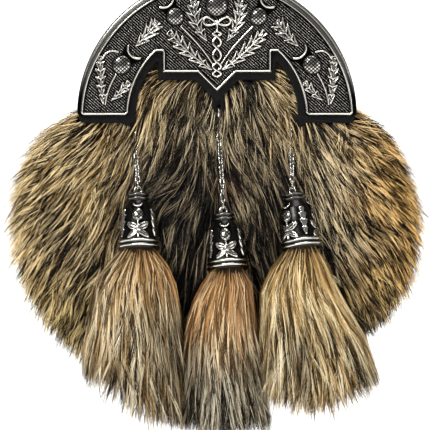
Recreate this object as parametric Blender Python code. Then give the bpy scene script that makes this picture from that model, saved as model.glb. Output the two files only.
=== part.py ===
"""A full-dress sporran: a fur pouch under an arched metal cantle, with three tassels on chains.

X runs to the wearer's left as seen from the front, the front looks along -Y, and +Z is up. The origin is
the middle of the strap's way through the two loops on the back.
"""

import math
from typing import NamedTuple

import bmesh
import bpy
from mathutils import Matrix, Vector

# Sizes below are in millimetres, and each mesh is turned to metres when it is made.
MM = 0.001
GAP = 0.3

# The cantle's face, from above the middle of its arc
CANTLE_CENTRE_Z = -31.9
CANTLE_OUTER_RADIUS = 80.0
CANTLE_INNER_RADIUS = 50.3
BLOCK_HALF_WIDTH = 31.3
BLOCK_BOTTOM_UP = 24.5
V_TIP_UP = 13.6
V_HALF_WIDTH = 10.9
NOTCH_UP = 36.5
LEG_CORNER_RADIUS = 2.8
BACKING_OUTER_RADIUS = 79.0
BACKING_MARGIN = 3.8
BACKING_SIDE_MARGIN = 2.2

# Depths along Y, from the strap forwards
LOOP_GAP_HALF = 3.5
LOOP_STRIP = 2.0
BACK_PANEL_THICKNESS = 2.2
POUCH_DEPTH = 21.8
PANEL_THICKNESS = 2.0
SKIN_GAP = 0.8
SKIN_THICKNESS = 1.2
PRESSED_HAIR = 0.3
BACKING_THICKNESS = 3.0
PLATE_THICKNESS = 2.0
BEAD_HEIGHT = 1.7
BACK_PANEL_REAR = -LOOP_GAP_HALF
BACK_PANEL_FRONT = BACK_PANEL_REAR - BACK_PANEL_THICKNESS
GUSSET_REAR = BACK_PANEL_FRONT - GAP
GUSSET_FRONT = GUSSET_REAR - POUCH_DEPTH + 2 * GAP
PANEL_REAR = GUSSET_FRONT - GAP
PANEL_FRONT = PANEL_REAR - PANEL_THICKNESS
SKIN_REAR = PANEL_FRONT - SKIN_GAP
SKIN_FRONT = SKIN_REAR - SKIN_THICKNESS
BACKING_REAR = SKIN_FRONT - PRESSED_HAIR - 0.6
BACKING_FRONT = BACKING_REAR - BACKING_THICKNESS
CANTLE_REAR = BACKING_FRONT - GAP
FIELD_FRONT = CANTLE_REAR - PLATE_THICKNESS

# The pouch's outline: a half circle behind the cantle, and an oval body below it
POUCH_TOP_RADIUS = 76.0
BODY_CENTRE_Z = -93.0
BODY_HALF_WIDTH = 101.0
BODY_UP = 90.0
BODY_DOWN = 84.0
BELLY_CENTRE_Z = -110.0
BELLY_HALF_WIDTH = 93.0
BELLY_HALF_HEIGHT = 63.0
BELLY_CROWN = 7.0
BELLY_RINGS = (0.35, 0.7, 1.0)
FRONT_SIDES = 28
BACK_SIDES = 32
GUSSET_INSET = 2.0
GUSSET_THICKNESS = 2.0
GUSSET_STEPS = 20
MOUTH_HALF_ANGLE = 42.0

# The pelt: streamlines run from an arc behind the cantle to the body's rim
FUR_COLUMNS = 32
FUR_TOP_RADIUS = 70.0
FUR_TOP_SPAN = 68.0
FUR_RIM_START = 140.0
FUR_RIM_SWEEP = 260.0
FUR_RIM_GAP = 0.7
FUR_SIDE_REACH = 25.5
FUR_LOWER_REACH = 19.5
HAIR_RISE_PER_MM = 0.3
HAIR_FALL_ANGLE = 60.0
HAIR_FALL_POWER = 1.3
HAIR_SPREAD = 0.3
LOCK_SWAY = 0.25
SHORT_LOCK_SHARE = 0.72
FIRST_LINKS_LENGTH = 9.0
SKIN_STEPS = (0.88, 0.76, 0.64, 0.52, 0.4, 0.0)

# Strap loops
LOOP_X = 45.0
LOOP_WIDTH = 20.0
LOOP_GAP_HALF_HEIGHT = 13.0
LOOP_FOOT = 8.0

# Chains and tassel bells
WIRE_RADIUS = 0.5
LINK_PITCH = 4.8
LINK_INNER_WIDTH = 1.5
LINK_SEGMENTS = 10
LINK_FULLNESS = 0.62
WIRE_SIDES = 5
LINK_FUSE = 0.2
CHAIN_PULL = 0.34
CHAIN_STEPS = 400
TAB_WIDTH = 7.0
TAB_THICKNESS = 1.5
TAB_HOLE_RADIUS = 1.3
TAB_HOLE_SIDES = 8
HOOK_INNER_LENGTH = 4.6
HOOK_INNER_WIDTH = 2.3
HOOK_WIRE_RADIUS = 0.55
EYE_RADIUS = 2.0
EYE_WIRE_RADIUS = 0.55
EYE_RISE = 1.9
CAP_HEIGHT = 32.5
CAP_TOP_Y = -50.5
CAP_LEAN = 11.0
CAP_SIDES = 12
TASSEL_FLATNESS = 0.6
TASSEL_STRIPS = 10
TASSEL_LEAST_DEPTH = 11.0
TASSEL_Y = -60.0
TASSEL_FORWARD_BY = 20.0
UPPER_STRIP_DROP = 14.0
LOWER_STRIP_DROP = 18.0
STRIP_RIDGE = 0.93


class EdgeRing(NamedTuple):
    """A ring round the cantle's edge: how far in it lies from the outer arc and the other edges, and its y."""

    outer_inset: float
    inset: float
    y: float


CANTLE_EDGE = (
    EdgeRing(outer_inset=0.0, inset=0.0, y=CANTLE_REAR),
    EdgeRing(outer_inset=0.0, inset=0.0, y=CANTLE_REAR - 1.0),
    EdgeRing(outer_inset=3.0, inset=0.35, y=FIELD_FRONT - BEAD_HEIGHT / 2),
    EdgeRing(outer_inset=3.9, inset=1.1, y=FIELD_FRONT - BEAD_HEIGHT),
    EdgeRing(outer_inset=4.8, inset=1.9, y=FIELD_FRONT),
)


class Lobe(NamedTuple):
    """A point of a leaf's edge: its share of the way to the tip, and of the half width."""

    along: float
    out: float


LOBED_EDGE = (
    Lobe(0.20, 0.72),
    Lobe(0.30, 0.42),
    Lobe(0.46, 1.0),
    Lobe(0.52, 0.48),
    Lobe(0.72, 0.86),
    Lobe(0.76, 0.36),
)
PLAIN_EDGE = (Lobe(0.25, 0.85), Lobe(0.65, 0.8))


class Leaf(NamedTuple):
    """A cast leaf: its two ends, its width, how far its middle bends to the left, and its edge."""

    root: tuple
    tip: tuple
    width: float
    bend: float = 0.0
    edge: tuple = LOBED_EDGE


class Thistle(NamedTuple):
    """A cast thistle head: its bulb's centre and radius, and its lean from upright in degrees."""

    bulb: tuple
    radius: float
    lean: float


# Relief on the cantle's right half, mirrored to the left
CANTLE_LEAVES = (
    Leaf(root=(2.9, 10.4), tip=(17.7, 32.2), width=8.0, bend=-1.6),
    Leaf(root=(3.0, -5.6), tip=(26.8, 15.6), width=8.2, bend=-1.4),
    Leaf(root=(45.6, 7.0), tip=(35.0, 21.4), width=7.0, bend=0.6),
    Leaf(root=(63.8, -25.6), tip=(66.0, 1.8), width=6.6, bend=-1.2),
    Leaf(root=(60.4, -25.2), tip=(50.4, -13.4), width=5.6, bend=0.5),
)
CANTLE_THISTLES = (
    Thistle(bulb=(23.9, 24.2), radius=4.9, lean=26.0),
    Thistle(bulb=(54.2, -2.9), radius=4.7, lean=-38.0),
)
CANTLE_STEMS = (
    ((2.5, -2.0), (10.5, 7.0), (20.9, 18.8)),
    ((62.4, -25.8), (60.2, -16.0), (56.6, -8.0)),
)
CENTRE_THISTLE = Thistle(bulb=(0.0, 31.0), radius=5.7, lean=0.0)
TWIST_CROSSINGS_Z = (17.6, 12.0, 6.8, -1.1, -5.7, -9.8)
TWIST_HALF_WIDTH = 2.3
KNOT_CENTRE_Z = 20.6
KNOT_HALF_WIDTH = 7.4
KNOT_HALF_HEIGHT = 2.3
KNOT_SAG = 1.4
KNOT_STEPS = 14

# Heights and radii of the relief, over the field that it stands on
RELIEF_ROOT = -0.5
LEAF_EDGE_HEIGHT = 0.35
LEAF_RIDGE_HEIGHT = 1.3
LEAF_RIDGE_SHARES = (0.30, 0.62)
STEM_RADIUS = 0.85
STEM_HEIGHT = 0.3
CORD_RADIUS = 0.8
CORD_HEIGHT = 0.75
CORD_OVER = 0.35


class BulbRing(NamedTuple):
    """A ring of a thistle's bulb, in shares of its radius."""

    height: float
    radius: float


THISTLE_BULB = (BulbRing(0.18, 0.96), BulbRing(0.36, 0.55))


class CrownPoint(NamedTuple):
    """A point on the right of a thistle's crown, in shares of its bulb's radius from the bulb's centre."""

    x: float
    z: float


THISTLE_CROWN = (
    CrownPoint(0.55, 0.55),
    CrownPoint(1.25, 1.75),
    CrownPoint(0.75, 1.55),
    CrownPoint(0.38, 2.05),
    CrownPoint(0.0, 1.6),
)
THISTLE_CROWN_HEIGHT = 0.24

CAP_LEAVES = (
    Leaf(root=(0.6, -26.5), tip=(6.4, -17.0), width=4.6, bend=-0.8, edge=PLAIN_EDGE),
    Leaf(root=(-0.6, -26.5), tip=(-6.4, -17.0), width=4.6, bend=0.8, edge=PLAIN_EDGE),
)
CAP_THISTLE = Thistle(bulb=(0.0, -13.0), radius=3.6, lean=0.0)


class FurRow(NamedTuple):
    """One row of locks: where it ends on the way from the cantle to the rim, its rise and its overhang."""

    ends_at: float
    lift: float
    overhang: float


FUR_ROWS = (
    FurRow(ends_at=0.14, lift=5.2, overhang=7.0),
    FurRow(ends_at=0.33, lift=5.4, overhang=10.0),
    FurRow(ends_at=0.52, lift=5.5, overhang=10.0),
    FurRow(ends_at=0.70, lift=5.5, overhang=10.0),
    FurRow(ends_at=0.88, lift=5.6, overhang=9.0),
)
FUR_MOST_COVERED = 0.72
COVER_STEPS = 100


class RimRow(NamedTuple):
    """A row of locks round the pouch's edge: its share of the full reach, and its tips' and roots' depths."""

    reach: float
    tip_y: float
    root_y: float


RIM_ROWS = (
    RimRow(reach=1.0, tip_y=-27.0, root_y=-22.0),
    RimRow(reach=0.84, tip_y=-14.0, root_y=-7.6),
)


class CapRing(NamedTuple):
    """One ring of the bell's turned profile: its radius and how far it lies below the bell's flat top."""

    radius: float
    below: float


CAP_OUTSIDE = (
    CapRing(5.8, 0.0),
    CapRing(6.3, 0.9),
    CapRing(5.4, 2.0),
    CapRing(6.4, 3.1),
    CapRing(9.0, 9.5),
    CapRing(10.2, 25.5),
    CapRing(11.9, 28.0),
    CapRing(11.2, 29.5),
    CapRing(12.3, 31.2),
    CapRing(11.9, CAP_HEIGHT),
)
CAP_INSIDE = (
    CapRing(9.6, CAP_HEIGHT),
    CapRing(7.8, 11.5),
)


TASSEL_HEAD = (CapRing(radius=7.3, below=16.0), CapRing(radius=8.9, below=CAP_HEIGHT))


class TasselSection(NamedTuple):
    """One section of a tassel's fur: its distance below the bell's mouth, its middle and its half width."""

    below: float
    centre_x: float
    half_width: float


class Tassel(NamedTuple):
    """One tassel: its tab, its bell's top and tilt, and the sections of its fur."""

    name: str
    tab_root: tuple
    tab_end: tuple
    cap_top: tuple
    tilt: float
    length: float
    skew: float
    sections: tuple


TASSELS = (
    Tassel(
        name="left",
        tab_root=(-52.5, -31.5),
        tab_end=(-46.6, -40.0),
        cap_top=(-44.7, -76.4),
        tilt=1.5,
        length=91.0,
        skew=0.22,
        sections=(
            TasselSection(below=6.0, centre_x=-44.4, half_width=17.5),
            TasselSection(below=18.0, centre_x=-46.4, half_width=24.2),
            TasselSection(below=45.0, centre_x=-46.2, half_width=27.4),
            TasselSection(below=68.0, centre_x=-46.6, half_width=28.2),
        ),
    ),
    Tassel(
        name="middle",
        tab_root=(0.0, -14.0),
        tab_end=(1.0, -26.5),
        cap_top=(3.7, -87.8),
        tilt=4.6,
        length=95.0,
        skew=0.0,
        sections=(
            TasselSection(below=6.0, centre_x=5.9, half_width=15.0),
            TasselSection(below=18.0, centre_x=3.4, half_width=18.2),
            TasselSection(below=40.0, centre_x=2.2, half_width=21.4),
            TasselSection(below=70.0, centre_x=2.6, half_width=21.0),
        ),
    ),
    Tassel(
        name="right",
        tab_root=(51.5, -31.0),
        tab_end=(42.6, -38.0),
        cap_top=(43.0, -76.4),
        tilt=8.6,
        length=87.0,
        skew=-0.06,
        sections=(
            TasselSection(below=6.0, centre_x=47.0, half_width=16.0),
            TasselSection(below=24.0, centre_x=46.2, half_width=22.9),
            TasselSection(below=50.0, centre_x=53.2, half_width=28.8),
            TasselSection(below=70.0, centre_x=54.2, half_width=28.6),
        ),
    ),
)


class Finish(NamedTuple):
    """A material's sRGB colour, roughness and metallic value."""

    colour: tuple
    roughness: float
    metallic: float


FINISHES = {
    "antiqued_pewter": Finish(colour=(0.60, 0.60, 0.59), roughness=0.34, metallic=1.0),
    "black_leather": Finish(colour=(0.07, 0.065, 0.06), roughness=0.5, metallic=0.0),
    "pelt": Finish(colour=(0.52, 0.40, 0.25), roughness=0.8, metallic=0.0),
    "tassel_hair": Finish(colour=(0.70, 0.54, 0.35), roughness=0.8, metallic=0.0),
    "chain_wire": Finish(colour=(0.55, 0.55, 0.54), roughness=0.3, metallic=1.0),
}


def clear_scene():
    """Removes whatever the scene starts with."""
    for thing in list(bpy.data.objects):
        bpy.data.objects.remove(thing, do_unlink=True)


def material(name):
    """The named finish as a Principled material, made once."""
    found = bpy.data.materials.get(name)
    if found:
        return found
    finish = FINISHES[name]
    made = bpy.data.materials.new(name)
    made.use_nodes = True
    shader = made.node_tree.nodes["Principled BSDF"]
    linear = [channel**2.2 for channel in finish.colour]
    shader.inputs["Base Color"].default_value = (*linear, 1.0)
    shader.inputs["Roughness"].default_value = finish.roughness
    shader.inputs["Metallic"].default_value = finish.metallic
    return made


def make_object(name, solid, finish, parent=None, matrix=None):
    """An object from (points, faces) in millimetres, shaded smooth but for its sharp edges."""
    points, faces = solid
    mesh = bpy.data.meshes.new(name)
    mesh.from_pydata([Vector(point) * MM for point in points], [], faces)
    shape = bmesh.new()
    shape.from_mesh(mesh)
    bmesh.ops.recalc_face_normals(shape, faces=shape.faces)
    if shape.calc_volume(signed=True) < 0:
        bmesh.ops.reverse_faces(shape, faces=shape.faces)
    shape.to_mesh(mesh)
    shape.free()
    mesh.shade_smooth()
    mesh.set_sharp_from_angle(angle=math.radians(35))
    mesh.materials.append(material(finish))
    made = bpy.data.objects.new(name, mesh)
    bpy.context.scene.collection.objects.link(made)
    if parent:
        made.parent = parent
    if matrix:
        made.matrix_basis = matrix
    return made


def make_empty(name, parent=None, matrix=None):
    """An empty that carries other objects."""
    made = bpy.data.objects.new(name, None)
    bpy.context.scene.collection.objects.link(made)
    made.parent = parent
    if matrix:
        made.matrix_basis = matrix
    return made


def combine(target, other, operation, own_overlaps=False):
    """Joins or cuts target with other, keeps the result as target's mesh and removes other."""
    bpy.context.view_layer.update()
    step = target.modifiers.new(operation.lower(), "BOOLEAN")
    step.object = other
    step.operation = operation
    step.use_self = own_overlaps
    graph = bpy.context.evaluated_depsgraph_get()
    before = target.data
    target.data = bpy.data.meshes.new_from_object(target.evaluated_get(graph))
    target.modifiers.clear()
    bpy.data.meshes.remove(before)
    bpy.data.objects.remove(other, do_unlink=True)


def joined(solids):
    """Several (points, faces) as one."""
    points = []
    faces = []
    for own_points, own_faces in solids:
        faces += [tuple(index + len(points) for index in face) for face in own_faces]
        points += own_points
    return points, faces


def mapped(solid, place):
    """A solid with each point moved by a function."""
    points, faces = solid
    return [place(*point) for point in points], faces


def loft(rings):
    """Closed rings of equally many points as one solid with an end face on the first and the last."""
    count = len(rings[0])
    points = [point for ring in rings for point in ring]
    faces = []
    for row in range(len(rings) - 1):
        for column in range(count):
            here = row * count + column
            beside = row * count + (column + 1) % count
            faces.append((here, beside, beside + count, here + count))
    last = (len(rings) - 1) * count
    faces.append(tuple(reversed(range(count))))
    faces.append(tuple(range(last, last + count)))
    return points, faces


def slab(outline, rear, front):
    """An (x, z) outline as a plate between two depths."""
    return loft([[(x, rear, z) for x, z in outline], [(x, front, z) for x, z in outline]])


def turned(profile, sides):
    """A closed (radius, z) profile that starts and ends on the axis, turned about Z."""
    inner = profile[1:-1]
    points = [(0.0, 0.0, profile[0][1])]
    for radius, z in inner:
        for side in range(sides):
            angle = 2 * math.pi * (side + 0.5) / sides
            points.append((radius * math.cos(angle), radius * math.sin(angle), z))
    points.append((0.0, 0.0, profile[-1][1]))
    faces = []
    for side in range(sides):
        beside = (side + 1) % sides
        faces.append((0, 1 + beside, 1 + side))
        for row in range(len(inner) - 1):
            here = 1 + row * sides
            faces.append((here + side, here + beside, here + sides + beside, here + sides + side))
        last = 1 + (len(inner) - 1) * sides
        faces.append((last + side, last + beside, len(points) - 1))
    return points, faces


def tube(path, radius, sides, closed=False):
    """A round wire along a path that lies mostly in the XZ plane."""
    path = [Vector(point) for point in path]
    rings = []
    for index, point in enumerate(path):
        before = path[index - 1] if closed or index else point
        after = path[(index + 1) % len(path)] if closed or index + 1 < len(path) else point
        along = (after - before).normalized()
        out = Vector((0.0, 1.0, 0.0)) - along * along.y
        out.normalize()
        side = along.cross(out)
        ring = []
        for step in range(sides):
            angle = 2 * math.pi * step / sides - math.pi / 2
            spoke = side * math.cos(angle) + out * math.sin(angle)
            ring.append(tuple(point + spoke * radius))
        rings.append(ring)
    if not closed:
        return loft(rings)
    points, faces = loft(rings + [rings[0]])
    count = len(points) - sides
    faces = [tuple(index % count for index in face) for face in faces[:-2]]
    return points[:count], faces


def rounded(before, corner, after, radius):
    """Three points in place of a corner of an outline."""
    corner = Vector(corner)
    first = corner + (Vector(before) - corner).normalized() * radius
    last = corner + (Vector(after) - corner).normalized() * radius
    middle = (first + last) / 4 + corner / 2
    return [tuple(first), tuple(middle), tuple(last)]


def arc(radius, start, end, steps):
    """Points (x, z) on a circle about the cantle's arc centre, between two angles in radians."""
    found = []
    for step in range(steps + 1):
        angle = start + (end - start) * step / steps
        found.append((radius * math.cos(angle), CANTLE_CENTRE_Z + radius * math.sin(angle)))
    return found


def cantle_outline(outer, inset, corner_radius, side_inset=None):
    """The cantle's outline with its outer arc at one radius and every other edge moved in by inset.

    The block's sides may have an inset of their own, and the notches beside it have blunt tips.
    """
    inner = CANTLE_INNER_RADIUS + inset
    foot = CANTLE_CENTRE_Z + inset
    side = BLOCK_HALF_WIDTH - (inset if side_inset is None else side_inset)
    notch = min(NOTCH_UP + inset, math.sqrt(inner**2 - side**2) - 1)
    bottom = CANTLE_CENTRE_Z + BLOCK_BOTTOM_UP + inset
    slope = (BLOCK_BOTTOM_UP - V_TIP_UP) / V_HALF_WIDTH
    tip = CANTLE_CENTRE_Z + V_TIP_UP + inset * math.hypot(1.0, slope)
    outer_foot = (math.sqrt(outer**2 - inset**2), foot)
    inner_foot = (math.sqrt(inner**2 - inset**2), foot)
    outer_turn = math.asin((inset + corner_radius) / outer)
    inner_turn = math.asin((inset + corner_radius) / inner)
    half = arc(outer, math.pi / 2, outer_turn, 11)[:-1]
    half += rounded((outer_foot[0], foot + 1), outer_foot, inner_foot, corner_radius)
    half += rounded(outer_foot, inner_foot, (inner_foot[0], foot + 1), corner_radius)
    half += arc(inner, inner_turn, math.asin(notch / inner), 6)[1:]
    half += [(side, CANTLE_CENTRE_Z + notch), (side, bottom), ((bottom - tip) / slope, bottom), (0.0, tip)]
    return half + [(-x, z) for x, z in reversed(half[1:-1])]


def capsule(start, end, width, steps=3):
    """An outline with two round ends, about the line between two (x, z) points."""
    start = Vector(start)
    end = Vector(end)
    turn = math.atan2(end.y - start.y, end.x - start.x)
    outline = []
    for centre, first in ((end, turn - math.pi / 2), (start, turn + math.pi / 2)):
        for step in range(steps + 1):
            angle = first + math.pi * step / steps
            outline.append((centre.x + width / 2 * math.cos(angle), centre.y + width / 2 * math.sin(angle)))
    return outline


def leaf_relief(leaf):
    """A lobed leaf with a raised midrib, as a solid of (x, height, z) points."""
    root = Vector(leaf.root)
    along = Vector(leaf.tip) - root
    across = Vector((-along.y, along.x)).normalized()

    def spot(share, off):
        bow = 4 * share * (1 - share) * leaf.bend
        at = root + along * share + across * (off * leaf.width / 2 + bow)
        return at.x, at.y

    left = [spot(lobe.along, lobe.out) for lobe in leaf.edge]
    right = [spot(lobe.along, -lobe.out) for lobe in leaf.edge]
    outline = [spot(0.0, 0.0), *right, spot(1.0, 0.0), *reversed(left)]
    count = len(outline)
    points = [(x, RELIEF_ROOT, z) for x, z in outline]
    points += [(x, LEAF_EDGE_HEIGHT, z) for x, z in outline]
    ridge = [spot(share, 0.0) for share in LEAF_RIDGE_SHARES]
    points += [(x, LEAF_RIDGE_HEIGHT, z) for x, z in ridge]
    faces = [(k, (k + 1) % count, count + (k + 1) % count, count + k) for k in range(count)]
    faces.append(tuple(reversed(range(count))))
    low, high = 2 * count, 2 * count + 1
    edge = len(leaf.edge)
    for side in ([count + k for k in range(1, edge + 1)], [2 * count - k for k in range(1, edge + 1)]):
        chain = [count, *side, count + edge + 1]
        half = edge // 2
        faces += [(chain[k], chain[k + 1], low) for k in range(half)]
        faces.append((chain[half], high, low))
        faces += [(chain[k], chain[k + 1], high) for k in range(half, edge + 1)]
    return points, faces


def thistle_relief(thistle):
    """A thistle head as two solids: a domed bulb and a flared crown with a notched top."""
    radius = thistle.radius
    sides = 8 if radius > 4 else 6
    turns = [2 * math.pi * (side + 0.5) / sides for side in range(sides)]
    bulb = [[(radius * math.cos(turn), RELIEF_ROOT, radius * math.sin(turn)) for turn in turns]]
    for row in THISTLE_BULB:
        reach = radius * row.radius
        height = radius * row.height
        bulb.append([(reach * math.cos(turn), height, reach * math.sin(turn)) for turn in turns])
    right = [(point.x * radius, point.z * radius) for point in THISTLE_CROWN]
    crown = right + [(-x, z) for x, z in reversed(right[:-1])]
    head = joined([loft(bulb), slab(crown, RELIEF_ROOT, radius * THISTLE_CROWN_HEIGHT)])
    lean = math.radians(thistle.lean)

    def place(x, height, z):
        return (
            thistle.bulb[0] + x * math.cos(lean) + z * math.sin(lean),
            height,
            thistle.bulb[1] - x * math.sin(lean) + z * math.cos(lean),
        )

    return mapped(head, place)


def stem_relief(points):
    """A thin stem through three (x, z) points, half sunk in the field."""
    first, middle, last = (Vector(point) for point in points)
    path = []
    for step in range(5):
        t = step / 4
        at = first * (1 - t) ** 2 + middle * 2 * t * (1 - t) + last * t**2
        path.append((at.x, STEM_HEIGHT, at.y))
    return tube(path, STEM_RADIUS, 3)


def twist_relief():
    """Two strands that cross each other down the middle of the cantle, one over the other in turn."""
    strands = []
    for sign in (1, -1):
        path = []
        for turn in range(len(TWIST_CROSSINGS_Z) - 1):
            top, below = TWIST_CROSSINGS_Z[turn : turn + 2]
            for step in range(3):
                t = step / 3
                side = sign * (1 if turn % 2 else -1)
                x = side * TWIST_HALF_WIDTH * math.sin(math.pi * t)
                over = side * math.cos(math.pi * t)
                path.append((x, CORD_HEIGHT + CORD_OVER * over, top + (below - top) * t))
        path.append((0.0, CORD_HEIGHT - CORD_OVER, TWIST_CROSSINGS_Z[-1]))
        strands.append(tube(path, CORD_RADIUS, 4))
    return joined(strands)


def knot_relief():
    """The bow of cord above the twist: one closed loop that crosses itself in the middle."""
    path = []
    for step in range(KNOT_STEPS):
        angle = 2 * math.pi * step / KNOT_STEPS
        x = KNOT_HALF_WIDTH * math.sin(angle)
        z = KNOT_CENTRE_Z + KNOT_HALF_HEIGHT * math.sin(2 * angle) + KNOT_SAG * abs(math.sin(angle))
        path.append((x, CORD_HEIGHT + CORD_OVER * math.cos(angle), z))
    neck = [(0.0, CORD_HEIGHT, KNOT_CENTRE_Z + 1.2), (0.0, CORD_HEIGHT, TWIST_CROSSINGS_Z[0] - 0.4)]
    return joined([tube(path, CORD_RADIUS, 4, closed=True), tube(neck, CORD_RADIUS, 4)])


def cantle_relief():
    """Every raised motif of the cantle, as one set of solids that overlap."""
    motifs = [thistle_relief(CENTRE_THISTLE), twist_relief(), knot_relief()]
    for side in (1, -1):
        half = [leaf_relief(leaf) for leaf in CANTLE_LEAVES]
        half += [thistle_relief(thistle) for thistle in CANTLE_THISTLES]
        half += [stem_relief(stem) for stem in CANTLE_STEMS]
        motifs.append(mapped(joined(half), lambda x, height, z, side=side: (side * x, height, z)))
    return mapped(joined(motifs), lambda x, height, z: (x, FIELD_FRONT - height, z))


def make_cantle(parent):
    """The cast plate: a sloped outer rim, a bead along the edge, a sunk field and its relief."""
    plate = []
    for ring in CANTLE_EDGE:
        outer = CANTLE_OUTER_RADIUS - ring.outer_inset
        outline = cantle_outline(outer, ring.inset, LEG_CORNER_RADIUS - ring.inset / 2)
        plate.append([(x, ring.y, z) for x, z in outline])
    cantle = make_object("cantle", loft(plate), "antiqued_pewter", parent)
    relief = make_object("relief", cantle_relief(), "antiqued_pewter")
    combine(cantle, relief, "UNION", own_overlaps=True)


def make_backing(parent):
    """The leather under the cantle, with the tabs that the chains hook into."""
    outline = cantle_outline(BACKING_OUTER_RADIUS, -BACKING_MARGIN, LEG_CORNER_RADIUS, -BACKING_SIDE_MARGIN)
    plate = slab(outline, BACKING_REAR, BACKING_FRONT)
    backing = make_object("cantle_backing", plate, "black_leather", parent)
    rear, front = tab_depths()
    for tassel in TASSELS:
        tab = slab(capsule(tassel.tab_root, tassel.tab_end, TAB_WIDTH), rear, front)
        combine(backing, make_object("tab", tab, "black_leather"), "UNION")
        x, z = tassel.tab_end
        hole = []
        for side in range(TAB_HOLE_SIDES):
            angle = 2 * math.pi * side / TAB_HOLE_SIDES
            hole.append((x + TAB_HOLE_RADIUS * math.cos(angle), z + TAB_HOLE_RADIUS * math.sin(angle)))
        cutter = make_object("hole", slab(hole, rear + 1, front - 1), "black_leather")
        combine(backing, cutter, "DIFFERENCE")


def tab_depths():
    """The rear and front of a hanging tab, which is pared thin at the front of the backing."""
    front = BACKING_FRONT + 0.1
    return front + TAB_THICKNESS, front


def hook_middle(tassel):
    """The middle of the hook link, whose wire rests just above the lower edge of its tab's hole."""
    x, z = tassel.tab_end
    wire_z = z - TAB_HOLE_RADIUS + HOOK_WIRE_RADIUS + GAP
    return Vector((x, sum(tab_depths()) / 2, wire_z - HOOK_WIRE_RADIUS - HOOK_INNER_LENGTH / 2))


def pouch_reach(angle, inset=0.0):
    """How far the pouch's outline lies from the body's centre, in a direction in radians from +X."""
    x, z = math.cos(angle), math.sin(angle)
    vertical = BODY_UP if z > 0 else BODY_DOWN
    oval = 1 / math.hypot(x / (BODY_HALF_WIDTH - inset), z / (vertical - inset))
    rise = CANTLE_CENTRE_Z - BODY_CENTRE_Z
    radius = POUCH_TOP_RADIUS - inset
    circle = rise * z + math.sqrt(max((rise * z) ** 2 + radius**2 - rise**2, 0.0))
    return max(oval, circle)


def pouch_point(angle, inset=0.0):
    """A point (x, z) of the pouch's outline."""
    reach = pouch_reach(angle, inset)
    return reach * math.cos(angle), BODY_CENTRE_Z + reach * math.sin(angle)


def belly_point(angle, share):
    """A point (x, z) of the crowned area, at a share of the way from its middle to its edge."""
    x = BELLY_HALF_WIDTH * share * math.cos(angle)
    return x, BELLY_CENTRE_Z + BELLY_HALF_HEIGHT * share * math.sin(angle)


def belly(x, z):
    """How far the front stands proud of its flat rim at a point."""
    off = (x / BELLY_HALF_WIDTH) ** 2 + ((z - BELLY_CENTRE_Z) / BELLY_HALF_HEIGHT) ** 2
    return BELLY_CROWN * max(0.0, 1 - off)


def make_back_panel(parent):
    """The flat back of the pouch."""
    outline = [pouch_point(2 * math.pi * side / BACK_SIDES) for side in range(BACK_SIDES)]
    make_object("back_panel", slab(outline, BACK_PANEL_REAR, BACK_PANEL_FRONT), "black_leather", parent)


def make_front_panel(parent):
    """The crowned front of the pouch: rings of points from the belly's middle to the rim, on both faces."""
    turns = [2 * math.pi * side / FRONT_SIDES for side in range(FRONT_SIDES)]
    flat_rings = [[belly_point(turn, share) for turn in turns] for share in BELLY_RINGS]
    flat_rings.append([pouch_point(turn) for turn in turns])
    rear = [[(x, PANEL_REAR - belly(x, z), z) for x, z in ring] for ring in flat_rings]
    front = [[(x, PANEL_FRONT - belly(x, z), z) for x, z in ring] for ring in reversed(flat_rings)]
    make_object("front_panel", loft(rear + front), "black_leather", parent)


def make_gusset(parent):
    """The side wall, round the pouch from one end of the mouth to the other."""
    start = math.pi / 2 + math.radians(MOUTH_HALF_ANGLE)
    sweep = 2 * math.pi - 2 * math.radians(MOUTH_HALF_ANGLE)
    rings = []
    for step in range(GUSSET_STEPS + 1):
        angle = start + sweep * step / GUSSET_STEPS
        outer = pouch_point(angle, GUSSET_INSET)
        inner = pouch_point(angle, GUSSET_INSET + GUSSET_THICKNESS)
        rings.append(
            [
                (outer[0], GUSSET_REAR, outer[1]),
                (outer[0], GUSSET_FRONT, outer[1]),
                (inner[0], GUSSET_FRONT, inner[1]),
                (inner[0], GUSSET_REAR, inner[1]),
            ]
        )
    make_object("gusset", loft(rings), "black_leather", parent)


def make_strap_loops(parent):
    """Two leather loops on the back, bent like a hat's section, with the strap's way along X."""
    near = LOOP_GAP_HALF
    far = LOOP_GAP_HALF + LOOP_STRIP
    foot = BACK_PANEL_REAR + GAP
    inside = LOOP_GAP_HALF_HEIGHT
    outside = inside + LOOP_STRIP
    end = outside + LOOP_FOOT
    half = [(near, 0.0), (near, inside), (foot, inside), (foot, end), (foot + LOOP_STRIP, end)]
    half += [(foot + LOOP_STRIP, outside), (far, outside)]
    section = half[1:] + [(y, -z) for y, z in reversed(half[1:])]
    for name, x in (("left", -LOOP_X), ("right", LOOP_X)):
        rings = [[(side, y, z) for y, z in section] for side in (-LOOP_WIDTH / 2, LOOP_WIDTH / 2)]
        matrix = Matrix.Translation(Vector((x, 0, 0)) * MM)
        make_object("strap_loop_" + name, loft(rings), "black_leather", parent, matrix)


def distance_to_capsule(x, z, start, end, radius):
    """How far a point lies outside a round-ended bar between two (x, z) points."""
    at, start, end = Vector((x, z)), Vector(start), Vector(end)
    along = end - start
    share = max(0.0, min(1.0, (at - start).dot(along) / along.length_squared))
    return (at - start - along * share).length - radius


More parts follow.
